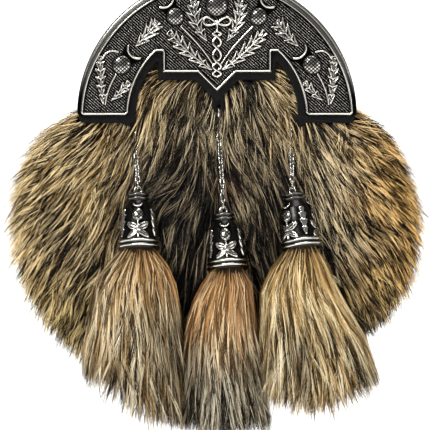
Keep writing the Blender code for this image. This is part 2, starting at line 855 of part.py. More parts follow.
def distance_from_cover(x, z):
    """How far a point of the pelt lies outside the leather and the first links that press its hair flat."""
    around = math.hypot(x, z - CANTLE_CENTRE_Z)
    inner = CANTLE_INNER_RADIUS - BACKING_MARGIN
    below = CANTLE_CENTRE_Z - BACKING_MARGIN - z
    ring = max(inner - around, around - BACKING_OUTER_RADIUS)
    if z < CANTLE_CENTRE_Z:
        ring = max(inner - abs(x), abs(x) - BACKING_OUTER_RADIUS, 0.0)
        ring = math.hypot(ring, max(below, 0.0)) if below > 0 or ring > 0 else 0.0
    bottom = CANTLE_CENTRE_Z + BLOCK_BOTTOM_UP - BACKING_MARGIN
    block = max(abs(x) - BLOCK_HALF_WIDTH - BACKING_SIDE_MARGIN, bottom - z)
    tip = (0.0, CANTLE_CENTRE_Z + V_TIP_UP)
    found = [ring, block, distance_to_capsule(x, z, (0.0, 0.0), tip, BACKING_MARGIN + 2)]
    for tassel in TASSELS:
        end = (tassel.tab_end[0], tassel.tab_end[1] - FIRST_LINKS_LENGTH)
        found.append(distance_to_capsule(x, z, tassel.tab_root, end, TAB_WIDTH / 2))
    return max(0.0, min(found) - 0.5)


def hair_rise(x, z, lift):
    """The height of the locks over the skin, which grows away from the cantle up to the full lift."""
    return min(lift, PRESSED_HAIR + HAIR_RISE_PER_MM * distance_from_cover(x, z))


def fur_rim(share):
    """The rim at a share of the way round: the point, its outward normal and the way its hair lies."""
    angle = math.radians(FUR_RIM_START + FUR_RIM_SWEEP * share)
    vertical = BODY_UP if math.sin(angle) > 0 else BODY_DOWN
    rim = Vector((BODY_HALF_WIDTH * math.cos(angle), BODY_CENTRE_Z + vertical * math.sin(angle)))
    normal = Vector((math.cos(angle) / BODY_HALF_WIDTH, math.sin(angle) / vertical)).normalized()
    side = 2 * share - 1
    fall = math.radians(HAIR_FALL_ANGLE) * math.copysign(abs(side) ** HAIR_FALL_POWER, side)
    flow = (Vector((math.sin(fall), -math.cos(fall))) + normal * HAIR_SPREAD).normalized()
    return rim, normal, flow


def fur_top(share):
    """Where a streamline of the pelt starts behind the cantle."""
    angle = math.radians(90 + FUR_TOP_SPAN - 2 * FUR_TOP_SPAN * share)
    return Vector((math.cos(angle), math.sin(angle))) * FUR_TOP_RADIUS + Vector((0.0, CANTLE_CENTRE_Z))


def covered_share(column):
    """The share of a streamline and of those beside it that the cantle's leather covers."""
    found = 0.0
    for near in (column - 1, column, column + 1):
        share = min(max(near / FUR_COLUMNS, 0.0), 1.0)
        top = fur_top(share)
        rim = fur_rim(share)[0]
        for step in range(COVER_STEPS):
            x, z = top + (rim - top) * step / COVER_STEPS
            if distance_from_cover(x, z) < 1.0:
                found = max(found, step / COVER_STEPS)
    return min(found, FUR_MOST_COVERED)


def fur_section(column):
    """The pelt's section along one streamline: over the locks to the rear edge, and back inside."""
    share = column / FUR_COLUMNS
    top = fur_top(share)
    rim, normal, flow = fur_rim(share)
    run = (rim - top).length
    covered = covered_share(column)

    def on_skin(along, rise):
        x, z = top + (rim - top) * along
        return x, SKIN_FRONT - belly(x, z) - rise, z

    section = [on_skin(0.0, 0.0), on_skin(covered, 0.0)]
    for index, row in enumerate(FUR_ROWS):
        tooth = (column + index) % 2 == 0
        ends_at = covered + (1 - covered) * row.ends_at
        x, _, z = on_skin(ends_at, 0.0)
        rise = hair_rise(x, z, row.lift)
        sway = 1 + LOCK_SWAY * math.sin(2.3 * column + 1.7 * index)
        beyond = row.overhang * sway * (1.0 if tooth else -LOCK_SWAY) / run
        beyond *= min(1.0, (rise - PRESSED_HAIR) / 3)
        x, _, z = on_skin(ends_at + beyond, 0.0)
        rise = hair_rise(x, z, row.lift)
        section.append(on_skin(ends_at + beyond, max(rise, 0.25)))
        section.append(on_skin(ends_at, 0.0))
    reach = FUR_SIDE_REACH + (FUR_LOWER_REACH - FUR_SIDE_REACH) * math.sin(math.pi * share)
    for index, row in enumerate(RIM_ROWS):
        tooth = (column + len(FUR_ROWS) + index) % 2 == 0
        length = reach * row.reach * (1.0 if tooth else SHORT_LOCK_SHARE)
        tip = rim + flow * length
        root = rim + normal * (FUR_RIM_GAP + SKIN_THICKNESS)
        section.append((tip.x, row.tip_y, tip.y))
        section.append((root.x, row.root_y, root.y))
    inner = rim + normal * FUR_RIM_GAP
    section.append((inner.x, RIM_ROWS[-1].root_y, inner.y))
    for x, z in [inner] + [top + (rim - top) * along for along in SKIN_STEPS]:
        section.append((x, SKIN_REAR - belly(x, z), z))
    return section


def make_fur_body(parent):
    """The pelt, as overlapping rows of locks that fan out from the cantle and stand out round the rim."""
    sections = [fur_section(column) for column in range(FUR_COLUMNS + 1)]
    make_object("fur_body", loft(sections), "pelt", parent)


def link_solid(inner_length, inner_width, wire_radius, sides=LINK_SEGMENTS):
    """A chain link: an oval of wire in the XZ plane, long along Z, with a straight stretch at each end."""
    rings = []
    half_step = math.pi / sides
    long_half = (inner_length / 2 + wire_radius) / math.cos(half_step) ** LINK_FULLNESS
    wide_half = inner_width / 2 + wire_radius
    for step in range(sides):
        angle = math.pi / 2 + half_step * (2 * step + 1)
        across, along = math.cos(angle), math.sin(angle)
        out = Vector((across, 0.0, along))
        x = wide_half * math.copysign(abs(across) ** LINK_FULLNESS, across)
        z = long_half * math.copysign(abs(along) ** LINK_FULLNESS, along)
        middle = Vector((x, 0.0, z))
        ring = []
        for side in range(WIRE_SIDES):
            turn = math.pi + 2 * math.pi * side / WIRE_SIDES
            spoke = out * math.cos(turn) + Vector((0.0, math.sin(turn), 0.0))
            ring.append(tuple(middle + spoke * wire_radius))
        rings.append(ring)
    points = [point for ring in rings for point in ring]
    faces = []
    for row in range(sides):
        for side in range(WIRE_SIDES):
            beside = (side + 1) % WIRE_SIDES
            here = row * WIRE_SIDES
            after = (row + 1) % sides * WIRE_SIDES
            faces.append((here + side, here + beside, after + beside, after + side))
    return points, faces


def cap_matrix(tassel):
    """Where a bell stands: its flat top's centre, tilted to the side and leaned forwards at the bottom."""
    place = Matrix.Translation((tassel.cap_top[0], CAP_TOP_Y, tassel.cap_top[1]))
    tilt = Matrix.Rotation(-math.radians(tassel.tilt), 4, "Y")
    lean = Matrix.Rotation(-math.radians(CAP_LEAN), 4, "X")
    return place @ tilt @ lean


def chain_route(tassel):
    """The points that the middles of a chain's plain links lie on, with the way along it at each."""
    eye_inside = EYE_RISE + EYE_RADIUS - EYE_WIRE_RADIUS - GAP - WIRE_RADIUS
    end = cap_matrix(tassel) @ Vector((0.0, 0.0, eye_inside))
    start = hook_middle(tassel) - Vector((0.0, 0.0, (HOOK_INNER_LENGTH + LINK_FUSE) / 2))
    pull = Vector((0.0, 0.0, (start - end).length * CHAIN_PULL))
    controls = (start, start - pull, end + pull, end)

    def bezier(t):
        a, b, c, d = controls
        return a * (1 - t) ** 3 + b * 3 * t * (1 - t) ** 2 + c * 3 * t**2 * (1 - t) + d * t**3

    fine = [bezier(step / CHAIN_STEPS) for step in range(CHAIN_STEPS + 1)]
    lengths = [0.0]
    for before, after in zip(fine, fine[1:]):
        lengths.append(lengths[-1] + (after - before).length)
    count = round(lengths[-1] / LINK_PITCH)
    count += count % 2
    inner = lengths[-1] / count
    middles = []
    for link in range(count):
        wanted = inner * (link + 0.5)
        index = next(k for k, length in enumerate(lengths) if length >= wanted)
        before = fine[max(index - CHAIN_STEPS // 30, 0)]
        after = fine[min(index + CHAIN_STEPS // 30, CHAIN_STEPS)]
        way = (after - before).normalized()
        middles.append((fine[index], way))
    return middles, inner


def place_link(solid, middle, way, turned_flat):
    """A link stood along the chain's way, in the plane of the front or square to it."""
    up = -way
    front = Vector((0.0, 1.0, 0.0)) - up * up.y
    front.normalize()
    side = front.cross(up)
    if turned_flat:
        front, side = side, -front

    def place(x, y, z):
        return tuple(middle + side * x + front * y + up * z)

    return mapped(solid, place)


def make_chain(tassel, parent):
    """A chain: a longer hook link through the tab, then plain links, each through the next."""
    middles, inner = chain_route(tassel)
    plain = link_solid(inner - LINK_FUSE, LINK_INNER_WIDTH, WIRE_RADIUS)
    odd, even = [], []
    hook = link_solid(HOOK_INNER_LENGTH, HOOK_INNER_WIDTH, HOOK_WIRE_RADIUS)
    even.append(place_link(hook, hook_middle(tassel), Vector((0.0, 0.0, -1.0)), True))
    for index, (middle, way) in enumerate(middles):
        flat = index % 2 == 1
        (even if flat else odd).append(place_link(plain, middle, way, flat))
    chain = make_object("tassel_chain_" + tassel.name, joined(odd), "chain_wire", parent)
    combine(chain, make_object("other_links", joined(even), "chain_wire"), "UNION")


def cap_radius(z):
    """The bell's outer radius at a height below its top, read between its rings."""
    for upper, lower in zip(CAP_OUTSIDE, CAP_OUTSIDE[1:]):
        if upper.below <= -z <= lower.below:
            share = (-z - upper.below) / (lower.below - upper.below)
            return upper.radius + (lower.radius - upper.radius) * share
    return CAP_OUTSIDE[-1].radius


def cap_mesh():
    """The bell that all three tassels share: turned walls, an eye on top and a thistle in front."""
    profile = [(0.0, 0.0)] + [(ring.radius, -ring.below) for ring in CAP_OUTSIDE + CAP_INSIDE]
    profile.append((0.0, -CAP_INSIDE[-1].below))
    bell = make_object("bell", turned(profile, CAP_SIDES), "antiqued_pewter")
    motifs = joined([leaf_relief(leaf) for leaf in CAP_LEAVES] + [thistle_relief(CAP_THISTLE)])

    def wrap(x, height, z):
        radius = cap_radius(z)
        angle = x / radius
        return ((radius + height) * math.sin(angle), -(radius + height) * math.cos(angle), z)

    relief = make_object("motifs", mapped(motifs, wrap), "antiqued_pewter")
    combine(bell, relief, "UNION", own_overlaps=True)
    inner = 2 * (EYE_RADIUS - EYE_WIRE_RADIUS)
    eye = mapped(link_solid(inner, inner, EYE_WIRE_RADIUS), lambda x, y, z: (x, y, z + EYE_RISE))
    combine(bell, make_object("eye", eye, "antiqued_pewter"), "UNION")
    mesh = bell.data
    bpy.data.objects.remove(bell, do_unlink=True)
    return mesh


def make_caps(parent):
    """The three bells, each turned to hang as its chain lets it."""
    mesh = cap_mesh()
    for tassel in TASSELS:
        cap = bpy.data.objects.new("tassel_cap_" + tassel.name, mesh)
        bpy.context.scene.collection.objects.link(cap)
        cap.parent = parent
        place = cap_matrix(tassel)
        place.translation *= MM
        cap.matrix_basis = place


def tassel_ring(centre, half_width, half_depth, tooth_drop=0.0, skew=0.0, phase=0):
    """One ring of a tassel's form, with every other point let down to make the ends of its strips."""
    count = 2 * TASSEL_STRIPS
    ring = []
    for step in range(count):
        angle = 2 * math.pi * step / count
        x = half_width * math.cos(angle)
        drop = tooth_drop * (1 + 0.35 * math.sin(3.1 * step)) * ((step + phase) % 2) + skew * x
        ridge = 1.0 if (step + phase) % 2 or not tooth_drop else STRIP_RIDGE
        y = half_depth * math.sin(angle)
        ring.append((centre.x + x * ridge, centre.y + y * ridge, centre.z - drop))
    return ring


def make_tassel_fur(tassel, parent):
    """A tassel's fur: a head inside the bell, then two layers of strips that end in points."""
    place = cap_matrix(tassel)
    mouth = place @ Vector((0.0, 0.0, -CAP_HEIGHT))
    rings = []
    for head in TASSEL_HEAD:
        ring = tassel_ring(Vector((0.0, 0.0, -head.below)), head.radius, head.radius)
        rings.append([tuple(place @ Vector(point)) for point in ring])

    def add(section, share=1.0, drop=0.0, skew=0.0, phase=0):
        forward = min(1.0, section.below / TASSEL_FORWARD_BY)
        centre = Vector((section.centre_x, mouth.y + (TASSEL_Y - mouth.y) * forward, mouth.z - section.below))
        width = section.half_width * share
        depth = max(section.half_width * TASSEL_FLATNESS, TASSEL_LEAST_DEPTH) * share
        rings.append(tassel_ring(centre, width, depth, drop, skew, phase))

    near, upper, middle, low = tassel.sections
    ends = low._replace(below=tassel.length - LOWER_STRIP_DROP / 2)
    add(near)
    add(upper)
    add(middle, drop=UPPER_STRIP_DROP)
    add(middle, share=0.85)
    add(low, skew=tassel.skew)
    add(ends, share=0.78, drop=LOWER_STRIP_DROP, skew=tassel.skew, phase=1)
    add(ends._replace(below=ends.below - UPPER_STRIP_DROP / 2), share=0.35)
    make_object("tassel_fur_" + tassel.name, loft(rings), "tassel_hair", parent)


def build():
    """Makes every piece of the sporran."""
    clear_scene()
    sporran = make_empty("sporran")
    make_cantle(sporran)
    make_backing(sporran)
    make_front_panel(sporran)
    make_gusset(sporran)
    make_back_panel(sporran)
    make_strap_loops(sporran)
    make_fur_body(sporran)
    make_caps(sporran)
    for tassel in TASSELS:
        make_chain(tassel, sporran)
        make_tassel_fur(tassel, sporran)


build()
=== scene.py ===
"""Looks of a full-dress sporran: a fur pouch under an arched cast cantle, with three fur tassels on chains.

Sizes are in millimetres in the frame of the solids: X to the right seen from the front, the front along -Y,
+Z up, and the origin in the middle of the strap's way through the loops on the back.
"""

import logging
import math
from dataclasses import dataclass
from enum import Enum
from typing import Iterable, NamedTuple, Sequence

import bmesh
import bpy
import numpy as np
from mathutils import Matrix, Vector


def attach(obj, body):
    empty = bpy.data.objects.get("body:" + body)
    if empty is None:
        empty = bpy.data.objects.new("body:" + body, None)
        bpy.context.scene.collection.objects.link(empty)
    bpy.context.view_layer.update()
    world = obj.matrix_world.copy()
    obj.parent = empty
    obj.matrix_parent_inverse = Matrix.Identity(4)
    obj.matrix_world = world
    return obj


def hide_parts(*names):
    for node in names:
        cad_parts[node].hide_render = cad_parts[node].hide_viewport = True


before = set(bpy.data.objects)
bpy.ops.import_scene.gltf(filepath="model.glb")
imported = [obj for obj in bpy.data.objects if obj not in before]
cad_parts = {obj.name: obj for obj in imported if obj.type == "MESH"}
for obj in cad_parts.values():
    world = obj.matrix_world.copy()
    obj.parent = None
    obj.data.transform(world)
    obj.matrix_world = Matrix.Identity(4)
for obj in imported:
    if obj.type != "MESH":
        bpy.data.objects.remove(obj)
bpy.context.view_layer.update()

MM = 0.001
BODY = "root"
LOG = logging.getLogger("sporran")

# Where the solids put the cantle, the pouch and the hanging parts
CENTRE_Z = -31.9
OUTER_RADIUS = 80.0
INNER_RADIUS = 50.3
BLOCK_HALF_WIDTH = 31.3
BLOCK_BOTTOM_UP = 24.5
NOTCH_UP = 36.5
V_TIP_UP = 13.6
V_HALF_WIDTH = 10.9
LEG_CORNER_RADIUS = 2.8
BACKING_MARGIN = 3.8
BACKING_SIDE_MARGIN = 2.2
BACKING_OUTER_RADIUS = 79.0
GAP = 0.3
BACK_REAR_Y = -3.5
BACK_FRONT_Y = -5.7
GUSSET_REAR_Y = -6.0
GUSSET_FRONT_Y = -27.2
PANEL_REAR_Y = -27.5
PANEL_FRONT_Y = -29.5
SKIN_Y = -31.5
SKIN_REAR_Y = -30.3
BACKING_REAR_Y = -32.4
BACKING_FRONT_Y = -35.4
CANTLE_REAR_Y = -35.7
FIELD_Y = -37.7
RIM_CENTRE_Z = -93.0
RIM_HALF_WIDTH = 101.0
RIM_UP = 90.0
RIM_DOWN = 84.0
POUCH_TOP_RADIUS = 76.0
BELLY_CENTRE_Z = -110.0
BELLY_HALF_WIDTH = 93.0
BELLY_HALF_HEIGHT = 63.0
BELLY_CROWN = 7.0
RIM_TURN_START = 140.0
RIM_TURN_SWEEP = 260.0
HAIR_FALL_ANGLE = 60.0
HAIR_FALL_POWER = 1.3
HAIR_SPREAD = 0.3
SIDE_REACH = 25.5
LOWER_REACH = 19.5

# The small parts that carry the tassels
TAB_HALF_WIDTH = 3.5
TAB_HOLE_RADIUS = 1.3
TAB_THICKNESS = 1.5
TAB_FRONT_Y = BACKING_FRONT_Y + 0.1
EYE_RADIUS = 2.0
EYE_RISE = 1.9
EYE_WIRE_RADIUS = 0.55
CAP_HEIGHT = 32.5
CAP_TOP_Y = -50.5
CAP_LEAN = 11.0
TASSEL_Y = -60.0
TASSEL_FLATNESS = 0.6
TASSEL_LEAST_DEPTH = 11.0

Array = np.ndarray
Pair = tuple[Array, Array]
Spot = tuple[float, float]
Chance = np.random.Generator
Material = bpy.types.Material
Tree = bpy.types.NodeTree
Socket = bpy.types.NodeSocket


def rows(kind: type, *values: Sequence[object]) -> tuple:
    """Names the values of each row."""
    return tuple(kind(*row) for row in values)


def linear(hex_colour: str) -> tuple[float, float, float, float]:
    """Turns an sRGB colour into the linear one that a shader takes.

    Args:
        hex_colour: Six hex digits after a hash.

    Returns:
        Red, green, blue and an alpha of one.
    """
    channels = [int(hex_colour[start : start + 2], 16) / 255 for start in (1, 3, 5)]
    made = [c / 12.92 if c <= 0.04045 else ((c + 0.055) / 1.055) ** 2.4 for c in channels]
    return made[0], made[1], made[2], 1.0


def smoothstep(low: float, high: float, value: Array) -> Array:
    """Rises smoothly from 0 at low to 1 at high."""
    share = np.clip((value - low) / (high - low), 0.0, 1.0)
    return share * share * (3 - 2 * share)


def add_node(
    tree: Tree,
    kind: str,
    values: dict | None = None,
    links: dict | None = None,
    out: int | str = 0,
    to: Socket | None = None,
    stops: Sequence[tuple[float, str]] = (),
    **settings: object,
) -> Socket:
    """Adds one node with its settings and its links.

    Args:
        tree: The material's node tree.
        kind: The shader node's kind.
        values: Plain values by input.
        links: Other nodes' outputs by input.
        out: The output that is wanted.
        to: An input that it is led to.
        stops: A ramp's two ends, then what lies between, each a place and a colour.
        **settings: Properties of the node.

    Returns:
        The wanted output.
    """
    node = tree.nodes.new(f"ShaderNode{kind}")
    for name, value in settings.items():
        setattr(node, name, value)
    for name, value in (values or {}).items():
        node.inputs[name].default_value = value
    for name, output in (links or {}).items():
        tree.links.new(output, node.inputs[name])
    for number, (place, colour) in enumerate(stops):
        ramp = node.color_ramp.elements
        stop = ramp[number] if number < 2 else ramp.new(place)
        stop.position = place
        stop.color = linear(colour)
    if to is not None:
        tree.links.new(node.outputs[out], to)
    return node.outputs[out]


def new_material(name: str, values: dict) -> tuple[Material, Tree, object]:
    """Makes a node material.

    Args:
        name: The finish's name.
        values: Its Principled shader's plain values.

    Returns:
        The material, its tree and the shader's inputs.
    """
    made = bpy.data.materials.new(name)
    made.use_nodes = True
    inputs = made.node_tree.nodes["Principled BSDF"].inputs
    for key, value in values.items():
        inputs[key].default_value = value
    return made, made.node_tree, inputs


def stand(name: str, data: bpy.types.ID) -> bpy.types.Object:
    """Stands a mesh, a lamp or a camera in the scene."""
    made = bpy.data.objects.new(name, data)
    bpy.context.scene.collection.objects.link(made)
    return made


def make_piece(
    name: str,
    points: Array,
    faces: Array,
    material: Material,
    slot: str,
    attributes: dict[str, Array] | None = None,
    ends: Sequence[Sequence[int]] = (),
    closed: bool = True,
) -> bpy.types.Object:
    """Makes a piece of the object, in millimetres, and lets it ride on the body.

    Args:
        name: The piece's name.
        points: One row for each vertex.
        faces: One row for each face, all of the same length.
        material: Its finish.
        slot: The record's slot for it; not used.
        attributes: A number or a colour for each vertex.
        ends: Faces with other numbers of corners.
        closed: Whether to turn its faces outwards.

    Returns:
        The new object.
    """
    mesh = bpy.data.meshes.new(name)
    corners = [faces.astype(np.int32).ravel()] + [np.array(face, np.int32) for face in ends]
    sizes = [faces.shape[1]] * len(faces) + [len(face) for face in ends]
    corner_list = np.concatenate(corners)
    start_list = np.concatenate([[0], np.cumsum(sizes)[:-1]]).astype(np.int32)
    mesh.vertices.add(len(points))
    mesh.vertices.foreach_set("co", (points * MM).astype(np.float32).ravel())
    mesh.loops.add(len(corner_list))
    mesh.loops.foreach_set("vertex_index", corner_list)
    mesh.polygons.add(len(start_list))
    mesh.polygons.foreach_set("loop_start", start_list)
    mesh.update(calc_edges=True)
    if closed:
        body = bmesh.new()
        body.from_mesh(mesh)
        bmesh.ops.recalc_face_normals(body, faces=body.faces)
        body.to_mesh(mesh)
        body.free()
    mesh.shade_smooth()
    for key, values in (attributes or {}).items():
        if values.ndim == 1:
            made = mesh.attributes.new(key, "FLOAT", "POINT")
            made.data.foreach_set("value", values.astype(np.float32))
        else:
            made = mesh.attributes.new(key, "FLOAT_COLOR", "POINT")
            with_alpha = np.hstack([values, np.ones((len(values), 1))])
            made.data.foreach_set("color", with_alpha.astype(np.float32).ravel())
    mesh.materials.append(material)
    piece = stand(name, mesh)
    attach(piece, BODY)
    return piece


def grid_faces(rows: int, columns: int, wrap: bool = False, loop: bool = False) -> Array:
    """Quads between the points of a grid.

    Args:
        rows: Its rows of points.
        columns: The points in a row.
        wrap: Whether each row closes.
        loop: Whether the last row meets the first.

    Returns:
        The quads.
    """
    wide = columns if wrap else columns - 1
    high = rows if loop else rows - 1
    row, column = np.meshgrid(np.arange(high), np.arange(wide), indexing="ij")
    beside = (column + 1) % columns
    after = (row + 1) % rows * columns
    row = row * columns
    return np.stack([row + column, row + beside, after + beside, after + column], -1).reshape(-1, 4)


def at_depth(flat: Array, y: Array | float) -> Array:
    """Sets flat points, rows of x and z, at a depth."""
    return np.column_stack([flat[:, 0], np.broadcast_to(y, len(flat)), flat[:, 1]])


def circle(count: int) -> Array:
    """Angles spread evenly round a circle, in radians."""
    return 2 * math.pi * np.arange(count) / count


def ring(count: int) -> Array:
    """Points spread evenly round a circle of radius one."""
    return np.column_stack([np.cos(circle(count)), np.sin(circle(count))])


def unit(ways: Array) -> Array:
    """Makes each direction one long."""
    return ways / np.linalg.norm(ways, axis=-1, keepdims=True)


def bump(value: Array, middle: float, width: float) -> Array:
    """A soft bump that is one in its middle."""
    return np.exp(-(((value - middle) / width) ** 2))


def arched(share: Array) -> Array:
    """The height of a round top at shares of its half width."""
    return np.sqrt(np.clip(1 - share**2, 0.0, 1.0))


def cornered(one: Array, two: Array) -> Array:
    """The distance inwards from two edges that meet in a rounded corner."""
    gaps = (np.clip(LEG_CORNER_RADIUS - edge, 0, None) for edge in (one, two))
    return LEG_CORNER_RADIUS - np.hypot(*gaps)


def per(size: float) -> float:
    """How many times a size in millimetres fits in a metre."""
    return 1 / (size * MM)


def curve(first: Array, pull: Array, last: Array, count: int) -> Array:
    """Points on a smooth curve between two places, with its middle pulled towards a third."""
    t = np.linspace(0, 1, count)[:, None]
    return first * (1 - t) ** 2 + pull * 2 * t * (1 - t) + last * t**2


def end_faces(total: int, around: int) -> list[Array]:
    """The faces that close the first and the last ring of a tube."""
    return [np.arange(around), total - 1 - np.arange(around)]


def belly(flat: Array) -> Array:
    """How far the pouch's front stands proud of its flat rim."""
    x, z = flat[..., 0], flat[..., 1]
    off = (x / BELLY_HALF_WIDTH) ** 2 + ((z - BELLY_CENTRE_Z) / BELLY_HALF_HEIGHT) ** 2
    return BELLY_CROWN * np.clip(1 - off, 0.0, None)


def rim_share(flat: Array) -> Array:
    """The share of the way from the body's middle to its oval rim, which is one at the rim."""
    up = flat[..., 1] - RIM_CENTRE_Z
    return np.hypot(flat[..., 0] / RIM_HALF_WIDTH, up / np.where(up > 0, RIM_UP, RIM_DOWN))


def cover_distance(flat: Array) -> Array:
    """How far places lie outside the leather under the cantle.

    Args:
        flat: The places.

    Returns:
        The distances, less than nothing beneath the leather.
    """
    x, z = flat[..., 0], flat[..., 1]
    inner = INNER_RADIUS - BACKING_MARGIN
    foot = CENTRE_Z - BACKING_MARGIN
    around = np.hypot(x, np.clip(z - CENTRE_Z, 0.0, None))
    ring = np.maximum.reduce([inner - around, around - BACKING_OUTER_RADIUS, foot - z])
    bottom = CENTRE_Z + BLOCK_BOTTOM_UP - BACKING_MARGIN
    block = np.maximum(np.abs(x) - BLOCK_HALF_WIDTH - BACKING_SIDE_MARGIN, bottom - z)
    slope = (BLOCK_BOTTOM_UP - V_TIP_UP) / V_HALF_WIDTH
    steep = math.hypot(1.0, slope)
    edge = CENTRE_Z + V_TIP_UP - BACKING_MARGIN * steep + np.abs(x) * slope
    tip = np.maximum(np.abs(x) - V_HALF_WIDTH - 2, (edge - z) / steep)
    return np.minimum.reduce([ring, block, tip])


@dataclass(frozen=True)
class AntiqueSilver:
    """Cast zinc alloy, silver plated, blackened and polished back on what stands proud.

    To the eye: bright warm-grey ridges with sharp highlights, near-black recesses, a fine diagonal hatch in
    the sunk field, broken into specks, and a net of cut lines on the thistles.
    """

    name: str
    silver: str = "#D2CFC6"
    dull_silver: str = "#5C5A56"
    black: str = "#060606"
    polished_roughness: float = 0.17
    black_roughness: float = 0.42
    hatch_period: float = 1.3
    hatch_angle: float = 48.0
    net_period: float = 1.5
    grain: float = 0.6

    def lines(self, tree: Tree, place: Socket, period: float, angle: float) -> object:
        """Draws slanting cut lines over the front. A wave repeats each pi / 10 of its scaled coordinate.

        Args:
            tree: The material's tree.
            place: The coordinates.
            period: The lines' distance.
            angle: Their slant in degrees.

        Returns:
            How strongly each place is cut.
        """
        turned = add_node(tree, "Mapping", {"Rotation": (0.0, math.radians(angle), 0.0)}, {"Vector": place})
        wave = {"Scale": math.pi / 10 / (period * MM), "Distortion": 0.5, "Detail": 1.0}
        return add_node(tree, "TexWave", wave, {"Vector": turned}, "Fac", bands_direction="X")

    def material(self) -> Material:
        """Makes the finish. It reads the attributes polish, hatch and net of the mesh; on the cantle the polish
        also holds painted shade on the outer rim band and a painted reflection on the outer bead.

        Returns:
            The material.
        """
        made, tree, shader = new_material(self.name, {"Metallic": 1.0})
        place = add_node(tree, "TexCoord", out="Object")
        keys = ("polish", "hatch", "net")
        marks = {key: add_node(tree, "Attribute", out="Fac", attribute_name=key) for key in keys}
        specks = add_node(tree, "TexNoise", {"Scale": per(self.grain), "Detail": 3.0}, {"Vector": place})
        strokes = self.lines(tree, place, self.hatch_period, self.hatch_angle)
        across = self.lines(tree, place, self.net_period, self.hatch_angle)
        back = self.lines(tree, place, self.net_period, -self.hatch_angle)
        broken = add_node(tree, "Math", {}, {0: strokes, 1: specks}, operation="MULTIPLY")
        crisp = add_node(tree, "MapRange", {"From Min": 0.28, "From Max": 0.58}, {"Value": broken})
        cut = add_node(tree, "Math", {}, {0: crisp, 1: marks["hatch"]}, operation="MULTIPLY")
        deeper = add_node(tree, "Math", {}, {0: across, 1: back}, operation="MINIMUM")
        range_of_net = {"From Min": 0.05, "From Max": 0.45, "To Min": -0.75, "To Max": 0.0}
        netted = add_node(tree, "MapRange", range_of_net, {"Value": deeper})
        given = {0: netted, 1: marks["net"], 2: marks["polish"]}
        net = add_node(tree, "Math", {}, given, operation="MULTIPLY_ADD")
        worn = add_node(tree, "Math", {1: 0.26}, {0: specks, 2: net}, operation="MULTIPLY_ADD")
        lit = add_node(tree, "Math", {1: 0.78}, {0: cut, 2: worn}, operation="MULTIPLY_ADD")
        stops = ((0.24, self.black), (0.98, self.silver), (0.62, self.dull_silver))
        add_node(tree, "ValToRGB", {}, {"Fac": lit}, to=shader["Base Color"], stops=stops)
        rough = {"From Min": 0.2, "From Max": 0.9}
        rough |= {"To Min": self.black_roughness, "To Max": self.polished_roughness}
        add_node(tree, "MapRange", rough, {"Value": lit}, to=shader["Roughness"])
        relief = add_node(tree, "Math", {1: 0.25}, {0: specks, 2: cut}, operation="MULTIPLY_ADD")
        add_node(tree, "Bump", {"Strength": 0.5, "Distance": 0.0003}, {"Height": relief}, to=shader["Normal"])
        return made


@dataclass(frozen=True)
class PlatedWire:
    """Steel wire bent into links, silver plated and dulled where links rub.

    To the eye: small hard glints on a dark grey wire.
    """

    name: str = "plated_chain_wire"
    bright: str = "#EFEDE6"
    dark: str = "#4A4945"
    tarnish: float = 1.6
    roughness: float = 0.16

    def material(self) -> Material:
        """Makes the finish.

        Returns:
            The material.
        """
        made, tree, shader = new_material(self.name, {"Metallic": 1.0, "Roughness": self.roughness})
        place = add_node(tree, "TexCoord", out="Object")
        patches = add_node(tree, "TexNoise", {"Scale": per(self.tarnish), "Detail": 4.0}, {"Vector": place})
        stops = ((0.38, self.dark), (0.62, self.bright))
        add_node(tree, "ValToRGB", {}, {"Fac": patches}, to=shader["Base Color"], stops=stops)
        add_node(tree, "Bump", {"Strength": 0.2, "Distance": 0.0002}, {"Height": patches}, to=shader["Normal"])
        return made


@dataclass(frozen=True)
class BlackLeather:
    """Vegetable-tanned cow hide, dyed black, with a pressed grain and burnished edges.

    To the eye: a soft satin black, pebbled, a little greyer where the grain's tops are rubbed.
    """

    name: str = "black_grained_leather"
    dye: str = "#060606"
    rubbed: str = "#121212"
    pebble: float = 1.3
    crease: float = 9.0
    roughness: float = 0.48

    def material(self) -> Material:
        """Makes the finish. The pebbles are drawn a little coarser than real ones so that they show.

        Returns:
            The material.
        """
        made, tree, shader = new_material(self.name, {"Specular IOR Level": 0.1})
        place = add_node(tree, "TexCoord", out="Object")
        pebbles = add_node(tree, "TexVoronoi", {"Scale": per(self.pebble)}, {"Vector": place}, feature="F1")
        creases = add_node(tree, "TexNoise", {"Scale": per(self.crease), "Detail": 6.0}, {"Vector": place})
        tops = add_node(tree, "Math", {1: -0.8}, {0: pebbles, 2: creases}, operation="MULTIPLY_ADD")
        stops = ((0.0, self.dye), (0.55, self.rubbed))
        add_node(tree, "ValToRGB", {}, {"Fac": tops}, to=shader["Base Color"], stops=stops)
        rough = {"To Min": self.roughness + 0.14, "To Max": self.roughness - 0.08}
        add_node(tree, "MapRange", rough, {"Value": creases}, to=shader["Roughness"])
        add_node(tree, "Bump", {"Strength": 0.45, "Distance": 0.0004}, {"Height": tops}, to=shader["Normal"])
        return made


@dataclass(frozen=True)
class WaxedThread:
    """Black linen thread, waxed and twisted.

    To the eye: short dark-grey stitches with a dull shine.
    """

    name: str = "waxed_linen_thread"
    colour: str = "#3A3631"
    ply: float = 0.5

    def material(self) -> Material:
        """Makes the finish.

        Returns:
            The material.
        """
        made, tree, shader = new_material(self.name, {"Base Color": linear(self.colour), "Roughness": 0.55})
        place = add_node(tree, "TexCoord", out="Object")
        wave = {"Scale": math.pi / 10 / (self.ply * MM)}
        twist = add_node(tree, "TexWave", wave, {"Vector": place}, "Fac", bands_direction="DIAGONAL")
        add_node(tree, "Bump", {"Strength": 0.4, "Distance": 0.0002}, {"Height": twist}, to=shader["Normal"])
        return made


